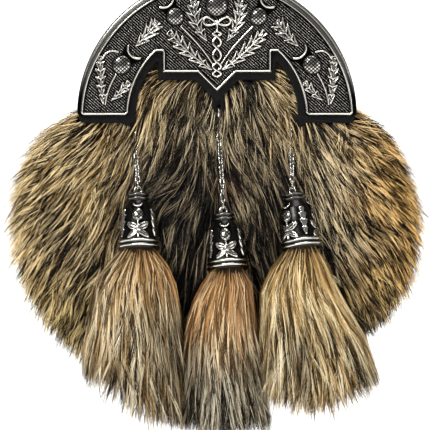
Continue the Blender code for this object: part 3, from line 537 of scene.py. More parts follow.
@dataclass(frozen=True)
class GuardHair:
    """Guard hair of a dressed pelt, its colours banded from root to tip, the roots darkened partly as the
    hair's own colour and partly as painted shade deep in the coat.

    To the eye: silky strands, pale in the middle and dark at the tip. Each vertex carries its own colour.
    """

    name: str
    roughness: float = 0.42

    def material(self) -> Material:
        """Makes the finish. It reads the attribute hair_colour_and_shade of the mesh.

        Returns:
            The material.
        """
        made, tree, shader = new_material(self.name, {"Roughness": self.roughness, "Specular IOR Level": 0.12})
        add_node(tree, "Attribute", to=shader["Base Color"], attribute_name="hair_colour_and_shade")
        return made


@dataclass(frozen=True)
class UnderfurAndShade:
    """The dense short wool on the skin, between the roots of the guard hair.

    To the eye: a near-black brown ground, mottled in tufts; its darkness is partly the wool's own brown and
    partly painted shade deep under the coat and inside the tassels.
    """

    name: str
    light: str = "#3E3020"
    dark: str = "#120E0A"
    tuft: float = 4.0

    def material(self) -> Material:
        """Makes the finish.

        Returns:
            The material.
        """
        made, tree, shader = new_material(self.name, {"Roughness": 0.9, "Specular IOR Level": 0.1})
        place = add_node(tree, "TexCoord", out="Object")
        drawn = add_node(tree, "Mapping", {"Scale": (1.0, 1.0, 0.25)}, {"Vector": place})
        noise = {"Scale": per(self.tuft), "Detail": 8.0, "Roughness": 0.7}
        tufts = add_node(tree, "TexNoise", noise, {"Vector": drawn})
        # Painted shade, with the wool's own brown: the ground is kept near black.
        stops = ((0.35, self.dark), (0.7, self.light))
        add_node(tree, "ValToRGB", {}, {"Fac": tufts}, to=shader["Base Color"], stops=stops)
        add_node(tree, "Bump", {"Strength": 0.8, "Distance": 0.001}, {"Height": tufts}, to=shader["Normal"])
        return made


class Leaf(NamedTuple):
    """A cast leaf: its two ends, its width, how far its middle bends left, and its lobes on each side."""

    root: Spot
    tip: Spot
    width: float
    bend: float = 0.0
    lobes: float = 5.0


class Thistle(NamedTuple):
    """A cast thistle head: its bulb's centre and radius, and its lean from upright in degrees."""

    bulb: Spot
    radius: float
    lean: float


class Cord(NamedTuple):
    """A cast cord: the points along its middle, each with its height, and its radius."""

    route: Array
    radius: float


@dataclass
class ReliefSheet:
    """A sheet of cast relief over a rectangle, as heights on a fine raster in millimetres."""

    low: Spot
    high: Spot
    step: float = 0.15
    edge_width: float = 0.4
    lobe_lean: float = 1.5

    def __post_init__(self) -> None:
        """Lays out the raster."""
        across = np.arange(self.low[0], self.high[0] + self.step, self.step)
        up = np.arange(self.low[1], self.high[1] + self.step, self.step)
        self.x, self.z = np.meshgrid(across, up)
        self.height, self.shine, self.net = (np.zeros_like(self.x) for _ in range(3))

    def raise_to(self, inside: Array, height: Array, shine: Array, net: Array | float = 0.0) -> None:
        """Raises a motif where it stands higher than what is there.

        Args:
            inside: Where it is.
            height: Its height.
            shine: Its polish.
            net: How deep its net is cut.
        """
        higher = inside & (height > self.height)
        self.height = np.where(higher, height, self.height)
        self.shine = np.where(higher, shine, self.shine)
        self.net = np.where(higher, net, self.net)

    def add_leaf(self, leaf: Leaf) -> None:
        """Raises a leaf with slanting pointed lobes: a bright rim, a midrib and veins over a dark ground.

        Args:
            leaf: The leaf. Without lobes it is a plain pointed oval.
        """
        root = np.array(leaf.root)
        along = np.array(leaf.tip) - root
        length = float(np.hypot(*along))
        way = along / length
        over_x = self.x - root[0]
        over_z = self.z - root[1]
        share = (over_x * way[0] + over_z * way[1]) / length
        bow = 4 * share * (1 - share) * leaf.bend
        off = np.abs(over_z * way[0] - over_x * way[1] - bow)
        slanted = share - self.lobe_lean * off / length if leaf.lobes else share
        swell = np.sin(np.pi * np.clip(0.06 + 0.92 * slanted, 0.0, 1.0)) ** 0.6
        phase = np.clip(slanted, 0.0, 1.0) * leaf.lobes
        ridge = 1 - np.abs(2 * (phase - np.floor(phase)) - 1) if leaf.lobes else 1.0
        reach = leaf.width / 2 * swell * (0.34 + 0.66 * ridge) + 1e-6
        inside = (off < reach) & (slanted > 0) & (share < 1)
        depth = reach - off
        steep = np.hypot(*np.gradient(depth, self.step))
        from_edge = depth / np.clip(steep, 0.6, 6.0)
        rim = bump(from_edge, self.edge_width, self.edge_width)
        midrib = bump(off, 0.0, 0.36) * (share < 0.94)
        vein_off = (phase - np.floor(phase) - 0.5) * length / max(leaf.lobes, 1.0) * 0.55
        veins = bump(vein_off, 0.0, 0.26) * (off < 0.8 * reach) * bool(leaf.lobes)
        lines = np.maximum.reduce([rim, midrib, 0.8 * veins])
        self.raise_to(inside, 0.35 + 0.25 * swell + 0.6 * lines, 0.02 + 0.95 * lines)

    def add_thistle(self, thistle: Thistle) -> None:
        """Raises a thistle head: a netted bulb, a dark collar and the bright hollow rim of its crown.

        Args:
            thistle: The thistle.
        """
        lean = math.radians(thistle.lean)
        over_x = self.x - thistle.bulb[0]
        over_z = self.z - thistle.bulb[1]
        right = over_x * math.cos(lean) - over_z * math.sin(lean)
        up = over_x * math.sin(lean) + over_z * math.cos(lean)
        radius = thistle.radius
        share = np.hypot(right, up * 0.96) / radius
        dome = arched(share)
        self.raise_to(share < 1, 0.3 + radius * 0.36 * dome, 0.30 + 0.52 * dome, smoothstep(0.97, 0.8, share))
        # The collar flares from the bulb to a rim that curls away from it
        bowl = np.hypot(right, up - 2.62 * radius) / radius
        flare = (0.72 + 0.34 * (up / radius - 0.7)) * radius
        collar = (np.abs(right) < flare) & (up > 0.7 * radius) & (up < 2.0 * radius) & (bowl > 1.22)
        self.raise_to(collar, 0.25 + 0.32 * up / radius, np.full(up.shape, -0.3))
        crest = (np.abs(right) < 1.02 * radius) & (bowl > 1.0) & (bowl < 1.3) & (up < 2.2 * radius)
        rise = bump(bowl, 1.17, 0.13)
        self.raise_to(crest, 0.9 + 0.8 * rise, 0.1 + 0.95 * rise)

    def add_cord(self, cord: Cord) -> None:
        """Raises a round cord along a route of points (x, height, z).

        Args:
            cord: The cord.
        """
        for start, end in zip(cord.route[:-1], cord.route[1:]):
            reach = cord.radius + 0.3
            near = (self.x > min(start[0], end[0]) - reach) & (self.x < max(start[0], end[0]) + reach)
            near &= (self.z > min(start[2], end[2]) - reach) & (self.z < max(start[2], end[2]) + reach)
            over_x = self.x[near] - start[0]
            over_z = self.z[near] - start[2]
            along = end - start
            share = (over_x * along[0] + over_z * along[2]) / (along[0] ** 2 + along[2] ** 2 + 1e-9)
            share = np.clip(share, 0.0, 1.0)
            off = np.hypot(over_x - share * along[0], over_z - share * along[2]) / cord.radius
            made = start[1] + share * along[1] + cord.radius * arched(off)
            higher = (off < 1) & (made > self.height[near])
            for raster, value in ((self.height, made), (self.shine, 1.0 - 0.9 * off**2), (self.net, 0.0)):
                raster[near] = np.where(higher, value, raster[near])

    def mirror(self) -> None:
        """Copies what stands on either half to the other half."""
        other = self.height[:, ::-1] > self.height
        for raster in (self.shine, self.net, self.height):
            raster[:] = np.where(other, raster[:, ::-1].copy(), raster)

    def blurred(self, values: Array, reach: float) -> Array:
        """Averages values over a square twice.

        Args:
            values: A raster of them.
            reach: Half of the square's side.

        Returns:
            The averaged raster.
        """
        half = max(1, round(reach / self.step))
        for _ in range(2):
            for axis in (0, 1):
                before = np.repeat(values.take([0], axis), half + 1, axis)
                after = np.repeat(values.take([-1], axis), half, axis)
                summed = np.cumsum(np.concatenate([before, values, after], axis), axis)
                size = values.shape[axis]
                upper = summed.take(np.arange(2 * half + 1, 2 * half + 1 + size), axis)
                values = (upper - summed.take(np.arange(size), axis)) / (2 * half + 1)
        return values

    def polish(self) -> Array:
        """How far each place was polished back to silver: less than nothing in a recess, up to one above."""
        proud = self.height - self.blurred(self.height, 0.9)
        return np.clip(self.shine + 0.35 * proud, -0.3, 1.0)

    def sample(self, values: Array, x: Array, z: Array) -> Array:
        """Reads a raster between its points.

        Args:
            values: The raster.
            x: Places across.
            z: Places up.

        Returns:
            The values there.
        """
        column = np.clip((x - self.low[0]) / self.step, 0, self.x.shape[1] - 1.001)
        row = np.clip((z - self.low[1]) / self.step, 0, self.x.shape[0] - 1.001)
        left = column.astype(int)
        below = row.astype(int)
        right_share = column - left
        up_share = row - below
        lower = values[below, left] * (1 - right_share) + values[below, left + 1] * right_share
        upper = values[below + 1, left] * (1 - right_share) + values[below + 1, left + 1] * right_share
        return lower * (1 - up_share) + upper * up_share


@dataclass
class Cantle:
    """The arched cast plate over the mouth of the pouch."""

    finish: AntiqueSilver
    spacing: float = 0.38
    bead_height: float = 1.7
    bead_inset: float = 1.1
    bead_half_width: float = 0.85
    rim_width_at_feet: float = 1.9
    rim_width_at_top: float = 3.3
    notch_step: float = 0.3
    band_rows: int = 12
    knot_centre_z: float = 21.2
    knot_half_width: float = 7.6
    leaves: tuple[Leaf, ...] = rows(
        Leaf,
        ((46.7, 7.7), (33.8, 22.4), 11.4, 0.6, 4.0),
        ((5.4, 10.6), (13.4, 35.0), 10.4, -2.6),
        ((2.5, -5.8), (27.6, 16.6), 10.2, -1.2, 6.0),
        ((64.9, -25.4), (66.6, 2.4), 7.4, -0.5, 6.0),
        ((60.6, -23.2), (49.8, -12.4), 7.0, 0.5, 3.0),
    )
    thistles: tuple[Thistle, ...] = rows(Thistle, ((23.8, 24.9), 4.8, 33.0), ((54.4, -2.7), 5.2, -45.0))
    stems: tuple[tuple[Spot, ...], ...] = (
        ((2.3, -2.4), (7.1, 6.3), (20.4, 19.2)),
        ((63.8, -25.1), (62.9, -16.5), (57.6, -8.0)),
        ((65.2, 1.0), (62.8, 6.8), (56.4, 4.6)),
    )
    twist_crossings: tuple[float, ...] = (16.5, 13.6, 7.0, -1.2, -6.0, -9.6)

    def stem_cord(self, stem: Sequence[Spot]) -> Cord:
        """A stem through the field, from its start, the point that pulls its middle and its end."""
        return Cord(at_depth(curve(*(np.array(point) for point in stem), 16), 0.3), 0.55)

    def twist_cords(self) -> list[Cord]:
        """The two strands that cross each other down the middle.

        Returns:
            Both strands.
        """
        found = []
        for sign in (1, -1):
            route = []
            for turn, (top, below) in enumerate(zip(self.twist_crossings, self.twist_crossings[1:])):
                side = sign * (1 if turn % 2 else -1)
                for t in np.linspace(0, 1, 8, endpoint=False):
                    over = 0.35 * side * math.cos(math.pi * t)
                    route.append((side * 2.3 * math.sin(math.pi * t), 0.6 + over, top + (below - top) * t))
            route.append((0.0, 0.1, self.twist_crossings[-1]))
            found.append(Cord(np.array(route), 0.78))
        return found

    def knot_cords(self) -> list[Cord]:
        """The bow of cord above the twist, and its neck.

        Returns:
            The bow and the neck.
        """
        angle = np.linspace(0, 2 * math.pi, 65)
        x = self.knot_half_width * np.sin(angle)
        z = self.knot_centre_z + 2.3 * np.sin(2 * angle) + 1.4 * np.abs(np.sin(angle))
        bow = np.column_stack([x, 0.6 + 0.4 * np.cos(angle), z])
        neck = np.array([(0.0, 0.6, self.knot_centre_z + 1.2), (0.0, 0.6, self.twist_crossings[0] - 0.4)])
        return [Cord(bow, 0.78), Cord(neck, 0.78)]

    def inner_distance(self, x: Array, z: Array) -> Array:
        """The distance inwards from every edge but the outer arc, for places on the plate.

        Args:
            x: Places across.
            z: Places up.

        Returns:
            The distance in millimetres.
        """
        up = z - CENTRE_Z
        across = np.abs(x)
        radius = np.hypot(x, up)
        corners = (
            (0.0, V_TIP_UP),
            (V_HALF_WIDTH, BLOCK_BOTTOM_UP),
            (BLOCK_HALF_WIDTH, BLOCK_BOTTOM_UP),
            (BLOCK_HALF_WIDTH, NOTCH_UP),
            (math.sqrt(INNER_RADIUS**2 - NOTCH_UP**2), NOTCH_UP),
        )
        found = np.full(x.shape, 1e3)
        for (ax, az), (bx, bz) in zip(corners, corners[1:]):
            share = ((across - ax) * (bx - ax) + (up - az) * (bz - az)) / ((bx - ax) ** 2 + (bz - az) ** 2)
            share = np.clip(share, 0, 1)
            found = np.minimum(found, np.hypot(across - ax - share * (bx - ax), up - az - share * (bz - az)))
        on_arc = (up < radius * NOTCH_UP / INNER_RADIUS) & (across > BLOCK_HALF_WIDTH)
        found = np.where(on_arc, np.minimum(found, np.abs(radius - INNER_RADIUS)), found)
        foot = np.where((across > INNER_RADIUS - 1) & (across < OUTER_RADIUS + 1), np.abs(up), 1e3)
        near_foot = (up < 3 * LEG_CORNER_RADIUS) & (across > INNER_RADIUS - 1)
        bend = LEG_CORNER_RADIUS
        turned = cornered(foot, radius - INNER_RADIUS)
        corner = np.where((foot > bend) | (radius - INNER_RADIUS > bend), np.minimum(found, foot), turned)
        return np.where(near_foot, corner, np.minimum(found, foot))

    def relief(self) -> tuple[ReliefSheet, dict[str, Array]]:
        """Casts the field, the bead, the outer rim and every motif.

        Returns:
            The sheet, and its polish, which holds painted shade on the outer rim band and a painted reflection
            on the outer bead, its hatch and its net.
        """
        sheet = ReliefSheet((-OUTER_RADIUS - 1, CENTRE_Z - 1), (OUTER_RADIUS + 1, CENTRE_Z + OUTER_RADIUS + 1))
        for leaf in self.leaves:
            sheet.add_leaf(leaf)
        for thistle in self.thistles:
            sheet.add_thistle(thistle)
        for stem in self.stems:
            sheet.add_cord(self.stem_cord(stem))
        sheet.mirror()
        sheet.add_thistle(Thistle(bulb=(0.0, 31.4), radius=6.2, lean=0.0))
        for cord in self.twist_cords() + self.knot_cords():
            sheet.add_cord(cord)
        up = sheet.z - CENTRE_Z
        turn = np.arctan2(up, np.abs(sheet.x))
        widen = smoothstep(0.05, 0.75, turn)
        rim_width = self.rim_width_at_feet + (self.rim_width_at_top - self.rim_width_at_feet) * widen
        outer = OUTER_RADIUS - np.hypot(sheet.x, up) - rim_width
        inner = self.inner_distance(sheet.x, sheet.z)
        edge = np.minimum(outer, inner)
        edge = np.where(edge < LEG_CORNER_RADIUS, cornered(outer, inner), edge)
        across = (edge - self.bead_inset) / self.bead_half_width
        bead = self.bead_height * arched(across)
        in_field = edge > self.bead_inset + self.bead_half_width
        sheet.height = np.where(in_field, sheet.height, bead)
        sheet.net = np.where(in_field, sheet.net, 0.0)
        motif = sheet.blurred((sheet.height > 0.1).astype(float), 0.35)
        # Painted reflection: the outer bead is darkened up the arch, so that it is brightest at the feet; its
        # fall from the crown to the sides is its own polish.
        polish = np.where(in_field, sheet.polish(), (1.05 - 0.3 * widen * (inner > outer)) - 0.9 * across**2)
        hatch = np.where(in_field, 1 - np.clip(motif * 2.2, 0, 1), 0.0)
        sloped = edge < self.bead_inset - 0.8 * self.bead_half_width
        share = np.clip((outer + rim_width) / (rim_width + self.bead_inset - self.bead_half_width), 0, 1)
        groove = bump(share, 0.62, 0.16)
        outside = np.minimum(-1.1 + 2.0 * np.sqrt(share) - 0.7 * groove, 0.6 + 2.0 * (inner - 0.4))
        sheet.height = np.where(sloped, np.maximum(outside, -1.6), sheet.height)
        # Painted shade: the outer rim band is darkened towards the feet; the dark groove beside the bead is its
        # blackened recess.
        band = 0.86 * smoothstep(0.04, 0.35, turn) * (1 - 0.45 * groove) * smoothstep(0.0, 0.06, share)
        polish = np.where(sloped, band - 0.1, polish)
        return sheet, {"polish": polish, "hatch": hatch, "net": sheet.net}

    def build(self) -> None:
        """Builds the plate as an annulus with a block hung from its inner arc, then its walls and back."""
        sheet, marks = self.relief()
        rows = round((OUTER_RADIUS - INNER_RADIUS) / self.spacing) + 1
        columns = round(math.pi * (OUTER_RADIUS + INNER_RADIUS) / 4 / self.spacing) * 2 + 1
        turn = np.linspace(0, math.pi, columns)
        wide_turn, wide_radius = np.meshgrid(turn, np.linspace(OUTER_RADIUS, INNER_RADIUS, rows))
        x, up = self.round_feet(wide_radius * np.cos(wide_turn), wide_radius * np.sin(wide_turn), wide_radius)
        inside = np.flatnonzero(INNER_RADIUS * np.sin(turn) > NOTCH_UP + self.notch_step)
        band_x = INNER_RADIUS * np.cos(turn[inside])
        first = int(np.abs(band_x - BLOCK_HALF_WIDTH).argmin())
        last = len(inside) - 1 - first
        band_x[first], band_x[last] = BLOCK_HALF_WIDTH, -BLOCK_HALF_WIDTH
        arc_up = np.sqrt(INNER_RADIUS**2 - band_x**2)
        x[-1, inside], up[-1, inside] = band_x, arc_up
        # The band fills what lies between the arc and the blunt notches; the block hangs from its middle
        low = NOTCH_UP + 0.85 * np.clip(arc_up - arc_up[first], 0.0, None)
        share = (np.arange(1, self.band_rows + 1) / self.band_rows)[:, None]
        band_up = arc_up * (1 - share) + low * share
        block_x = band_x[first : last + 1]
        slope = (BLOCK_BOTTOM_UP - V_TIP_UP) / V_HALF_WIDTH
        bottom = np.minimum(V_TIP_UP + np.abs(block_x) * slope, BLOCK_BOTTOM_UP)
        block_rows = round((low.max() - V_TIP_UP) / self.spacing)
        share = (np.arange(1, block_rows + 1) / block_rows)[:, None]
        block_up = low[first : last + 1] * (1 - share) + bottom * share
        flat_x = np.concatenate([x.ravel(), np.tile(band_x, self.band_rows), np.tile(block_x, block_rows)])
        flat_z = np.concatenate([up.ravel(), band_up.ravel(), block_up.ravel()]) + CENTRE_Z
        height = sheet.sample(sheet.height, flat_x, flat_z)
        points = np.column_stack([flat_x, FIELD_Y - height, flat_z])
        arc = np.arange(rows * columns).reshape(rows, columns)
        count = arc.size
        band = np.vstack([arc[-1, inside], count + np.arange(band_up.size).reshape(band_up.shape)])
        count += band_up.size
        block = count + np.arange(block_up.size).reshape(block_up.shape)
        block = np.vstack([band[-1, first : last + 1], block])
        quads = []
        for part in (arc, band, block):
            corners = [part[:-1, :-1], part[:-1, 1:], part[1:, 1:], part[1:, :-1]]
            quads.append(np.stack(corners, -1).reshape(-1, 4))
        # Once round the outline: the outer arc, one foot, the inner edges from there, and the other foot
        edge = [arc[0], arc[1:, -1], arc[-1, columns - 2 : inside[-1] - 1 : -1], band[1:, -1]]
        edge += [band[-1, -2 : last - 1 : -1]] if last < len(inside) - 1 else []
        edge += [block[1:, -1], block[-1, -2::-1], block[-2::-1, 0]]
        edge += [band[-1, first - 1 :: -1]] if first else []
        edge += [band[-2::-1, 0], arc[-1, inside[0] - 1 :: -1], arc[-2:0:-1, 0]]
        edge = np.concatenate(edge).astype(int)
        walls = points[edge].copy()
        walls[:, 1] = CANTLE_REAR_Y
        wall = len(points) + np.arange(len(edge))
        quads.append(np.stack([np.roll(edge, -1), edge, wall, np.roll(wall, -1)], -1))
        attributes = {}
        for key, on_wall in (("polish", -0.1), ("hatch", 0.0), ("net", 0.0)):
            values = sheet.sample(marks[key], flat_x, flat_z)
            attributes[key] = np.concatenate([values, np.full(len(edge), on_wall)])
        every_point, every_quad = np.vstack([points, walls]), np.vstack(quads)
        silver = self.finish.material()
        piece = make_piece("cantle_relief", every_point, every_quad, silver, "cantle_metal", attributes, [wall])
        piece.data.set_sharp_from_angle(angle=math.radians(60))
        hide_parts("cantle")

    def round_feet(self, x: Array, up: Array, radius: Array) -> Pair:
        """Pulls the corners of both feet in to a small round.

        Args:
            x: Places across.
            up: Places above the feet.
            radius: Distances from the arc's middle.

        Returns:
            The new x and up.
        """
        bend = LEG_CORNER_RADIUS
        for edge, sign in ((OUTER_RADIUS, -1), (INNER_RADIUS, 1)):
            from_edge = np.clip(bend - sign * (radius - edge), 0, None)
            from_foot = np.clip(bend - up, 0, None)
            far = np.hypot(from_edge, from_foot)
            outside = (far > bend) & (from_edge > 0) & (from_foot > 0)
            pull = np.where(outside, bend / np.maximum(far, 1e-9), 1.0)
            new_radius = np.where(outside, edge + sign * (bend - from_edge * pull), np.hypot(x, up))
            new_up = np.where(outside, bend - from_foot * pull, up)
            new_x = np.sign(x) * np.sqrt(np.clip(new_radius**2 - new_up**2, 0, None))
            x = np.where(outside, new_x, x)
            up = new_up
        return x, up


class TasselSection(NamedTuple):
    """One section of a tassel's fur: its distance below the bell's mouth, its middle and its half width."""

    below: float
    centre_x: float
    half_width: float


class Palette(Enum):
    """Mixes of hair colours, each as pale, middle and dark."""

    GOLD = ("#FBE0A8", "#B48A48", "#34260F")
    TAN = ("#F6E2B8", "#9A7C4E", "#281E13")
    AMBER = ("#F0C274", "#94682A", "#241805")
    GREY = ("#DCCCAA", "#5A4B38", "#14110E")
    DARK = ("#A69476", "#1C1611", "#080706")
    OLIVE = ("#DCC284", "#786234", "#221B0E")
    # Painted light: this orange is paler than the fur's own, to lift the tops of the tassels where the bells
    # shade them.
    ORANGE_WITH_PAINTED_LIGHT = ("#FFE4B4", "#E8B272", "#8A6238")
    CREAM = ("#FCF0D2", "#CEB284", "#4C3E2A")
    RUSSET = ("#B98A62", "#7E5236", "#3A2214")
    STRAW = ("#FCEEC8", "#C89E60", "#40280F")
    HONEY = ("#FCEEC4", "#D0AA6C", "#604824")
    PEPPER = ("#DCD2B8", "#584A36", "#14100C")


class Patch(NamedTuple):
    """A patch of colour: its middle, its reach across and up, its mix and its strength."""

    x: float
    z: float
    wide: float
    high: float
    mix: Palette
    strength: float


class HemPoint(NamedTuple):
    """A point of the line where a tassel's hair ends, seen from the front."""

    x: float
    z: float


@dataclass(frozen=True)
class Tassel:
    """One tassel: its tab's hole, its bell's top, tilt and turn, and the form and colours of its fur."""

    name: str
    tab_root: Spot
    tab_end: Spot
    cap_top: Spot
    tilt: float
    spin: float
    sections: tuple[TasselSection, ...]
    hem: tuple[HemPoint, ...]
    patches: tuple[Patch, ...]


# Charted in millimetres
TASSELS = (
    Tassel(
        name="left",
        tab_root=(-52.5, -31.5),
        tab_end=(-46.6, -40.0),
        cap_top=(-44.7, -76.4),
        tilt=1.5,
        spin=0.0,
        sections=rows(
            TasselSection,
            (0, -44.2, 9.6),
            (6, -44.4, 17.5),
            (18, -46.4, 24.2),
            (45, -46.2, 27.4),
            (68, -46.6, 29.2),
            (91, -46, 30),
        ),
        hem=rows(HemPoint, (-77, -178), (-62, -183), (-53, -194), (-45, -202), (-30, -207), (-15, -208)),
        patches=rows(
            Patch,
            (-46, -150, 400, 400, Palette.STRAW, 0.6),
            (-62, -150, 14, 30, Palette.CREAM, 0.7),
            # Painted light: the pale orange lifts this tassel's top where its bell shades it.
            (-34, -117, 8, 8, Palette.ORANGE_WITH_PAINTED_LIGHT, 1.2),
            (-37, -139, 6, 15, Palette.DARK, 1.5),
            (-25, -168, 7, 26, Palette.DARK, 2.0),
            (-58, -183, 20, 16, Palette.PEPPER, 1.5),
        ),
    ),
    Tassel(
        name="middle",
        tab_root=(0.0, -14.0),
        tab_end=(1.0, -26.5),
        cap_top=(3.7, -87.8),
        tilt=4.6,
        spin=0.0,
        sections=rows(
            TasselSection,
            (0, 6.0, 9.6),
            (6, 5.9, 15),
            (18, 3.4, 18.2),
            (40, 2.2, 21.4),
            (70, 3.8, 24.4),
            (95, 5, 27),
        ),
        hem=rows(HemPoint, (-20, -206), (0, -214), (24, -208)),
        patches=rows(
            Patch,
            (2, -150, 400, 400, Palette.PEPPER, 0.9),
            # Painted light: the pale orange lifts this tassel's top where its bell shades it.
            (1, -132, 26, 18, Palette.ORANGE_WITH_PAINTED_LIGHT, 3.2),
            (16.5, -129, 5, 8, Palette.RUSSET, 3.0),
            (-12, -176, 6, 26, Palette.DARK, 2.0),
            (18, -175, 6, 26, Palette.GREY, 1.2),
        ),
    ),
    Tassel(
        name="right",
        tab_root=(51.5, -31.0),
        tab_end=(42.6, -38.0),
        cap_top=(43.0, -76.4),
        tilt=8.6,
        spin=-40.0,
        sections=rows(
            TasselSection,
            (0, 47.6, 9.6),
            (6, 47, 16),
            (24, 46.2, 22.9),
            (50, 54.2, 30.4),
            (70, 57.4, 32.8),
            (87, 58.6, 34),
        ),
        hem=rows(HemPoint, (25.6, -185), (29, -194), (47, -200), (64, -198), (76, -191), (92, -182)),
        patches=rows(
            Patch,
            (52, -150, 400, 400, Palette.HONEY, 0.6),
            (47.6, -157, 3, 12, Palette.DARK, 3.0),
            (38, -165, 8, 20, Palette.CREAM, 0.8),
            (70, -165, 10, 24, Palette.STRAW, 1.0),
            (84, -172, 7, 14, Palette.PEPPER, 1.2),
        ),
    ),
)


def cap_matrix(tassel: Tassel) -> Matrix:
    """Where a bell stands, in millimetres.

    Args:
        tassel: Its tassel.

    Returns:
        The matrix from the bell's own frame, with its flat top at nothing and its mouth below.
    """
    place = Matrix.Translation((tassel.cap_top[0], CAP_TOP_Y, tassel.cap_top[1]))
    tilt = Matrix.Rotation(-math.radians(tassel.tilt), 4, "Y")
    return place @ tilt @ Matrix.Rotation(-math.radians(CAP_LEAN), 4, "X")


def moved(points: Array, matrix: Matrix) -> Array:
    """Moves points by a matrix."""
    held = np.array(matrix)
    return points @ held[:3, :3].T + held[:3, 3]


def wire_loop(route: Array, radius: float, sides: int, closed: bool = True) -> Pair:
    """A round wire along a route.

    Args:
        route: The points of its middle.
        radius: The wire's radius.
        sides: How many points its section has.
        closed: Whether its end meets its start.

    Returns:
        Its points and its quads.
    """
    along = unit(np.roll(route, -1, 0) - np.roll(route, 1, 0) if closed else np.gradient(route, axis=0))
    flat = np.cross(route[1] - route[0], route[2] - route[1])
    out = unit(flat - along * (along @ flat)[:, None])
    side = np.cross(along, out)
    turn = circle(sides)[None, :, None]
    spokes = out[:, None, :] * np.cos(turn) + side[:, None, :] * np.sin(turn)
    points = (route[:, None, :] + spokes * radius).reshape(-1, 3)
    return points, grid_faces(len(route), sides, wrap=True, loop=closed)


def gather(parts: Iterable[Pair]) -> Pair:
    """Several meshes of the same kind of face as one.

    Args:
        parts: Their points and faces.

    Returns:
        All points and all faces.
    """
    points, faces, count = [], [], 0
    for own_points, own_faces in parts:
        points.append(own_points)
        faces.append(own_faces + count)
        count += len(own_points)
    return np.vstack(points), np.vstack(faces)


@dataclass
class Chain:
    """A short chain of oval links from a tab's hole to a bell's eye."""

    tassel: Tassel
    material: Material
    pitch: float = 4.8
    inner_width: float = 1.5
    wire_radius: float = 0.5
    fuse: float = 0.2
    pull: float = 0.34
    hook_length: float = 4.6
    hook_width: float = 2.3
    hook_radius: float = 0.55
    steps: int = 24
    sides: int = 8
    twist: float = 42.0

    def link(self, length: float, width: float, radius: float) -> Pair:
        """An oval link of an inner length and width in its own frame, long along Z and flat in XZ."""
        way, reach = ring(self.steps), np.array([width / 2 + radius, length / 2 + radius])
        return wire_loop(at_depth(np.sign(way) * np.abs(way) ** 0.75 * reach, 0.0), radius, self.sides)

    def placed(self, solid: Pair, middle: Vector, way: Vector, turn: float) -> Pair:
        """A link stood along the chain.

        Args:
            solid: The link.
            middle: Where its middle goes.
            way: The chain's way down.
            turn: Its turn from the front, in degrees.

        Returns:
            The placed link.
        """
        up = -way
        front = (Vector((0.0, 1.0, 0.0)) - up * up.y).normalized()
        side = front.cross(up)
        angle = math.radians(turn)
        turned = side * math.cos(angle) + front * math.sin(angle)
        axes = np.array([turned, up.cross(turned), up])
        return solid[0] @ axes + np.array(middle), solid[1]

    def build(self) -> None:
        """Builds the hook link through the tab and the plain links below it."""
        hook_z = self.tassel.tab_end[1] - TAB_HOLE_RADIUS + self.hook_radius + GAP
        tab_y = TAB_FRONT_Y + TAB_THICKNESS / 2
        hook_middle = Vector((self.tassel.tab_end[0], tab_y, hook_z - self.hook_radius - self.hook_length / 2))
        eye_inside = EYE_RISE + EYE_RADIUS - EYE_WIRE_RADIUS - GAP - self.wire_radius
        end = cap_matrix(self.tassel) @ Vector((0.0, 0.0, eye_inside))
        start = hook_middle - Vector((0.0, 0.0, (self.hook_length + self.fuse) / 2))
        pull = Vector((0.0, 0.0, (start - end).length * self.pull))
        a, b, c, d = start, start - pull, end + pull, end
        shares = [step / 400 for step in range(401)]
        fine = [a * (1 - t) ** 3 + b * 3 * t * (1 - t) ** 2 + c * 3 * t**2 * (1 - t) + d * t**3 for t in shares]
        lengths = np.concatenate([[0.0], np.cumsum([(q - p).length for p, q in zip(fine, fine[1:])])])
        count = round(lengths[-1] / self.pitch)
        count += count % 2
        inner = lengths[-1] / count
        hook = self.link(self.hook_length, self.hook_width, self.hook_radius)
        plain = self.link(inner - self.fuse, self.inner_width, self.wire_radius)
        links = [self.placed(hook, hook_middle, Vector((0.0, 0.0, -1.0)), 90.0)]
        for index in range(count):
            spot = int(np.searchsorted(lengths, inner * (index + 0.5)))
            way = (fine[min(spot + 13, 400)] - fine[max(spot - 13, 0)]).normalized()
            twisted = self.twist * math.sin(math.pi * index / (count - 1)) ** 0.6
            links.append(self.placed(plain, fine[spot], way, 90.0 * (index % 2) + twisted))
        name = f"chain_links_{self.tassel.name}"
        piece = make_piece(name, *gather(links), self.material, "chain_wire", closed=False)
        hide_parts(f"tassel_chain_{self.tassel.name}")


class BellBead(NamedTuple):
    """A raised ring round a bell: its distance below the bell's top, its height and its half width."""

    below: float
    height: float
    half: float


class BellRing(NamedTuple):
    """A ring of a bell's wall: its radius and its distance below the bell's top."""

    radius: float
    below: float


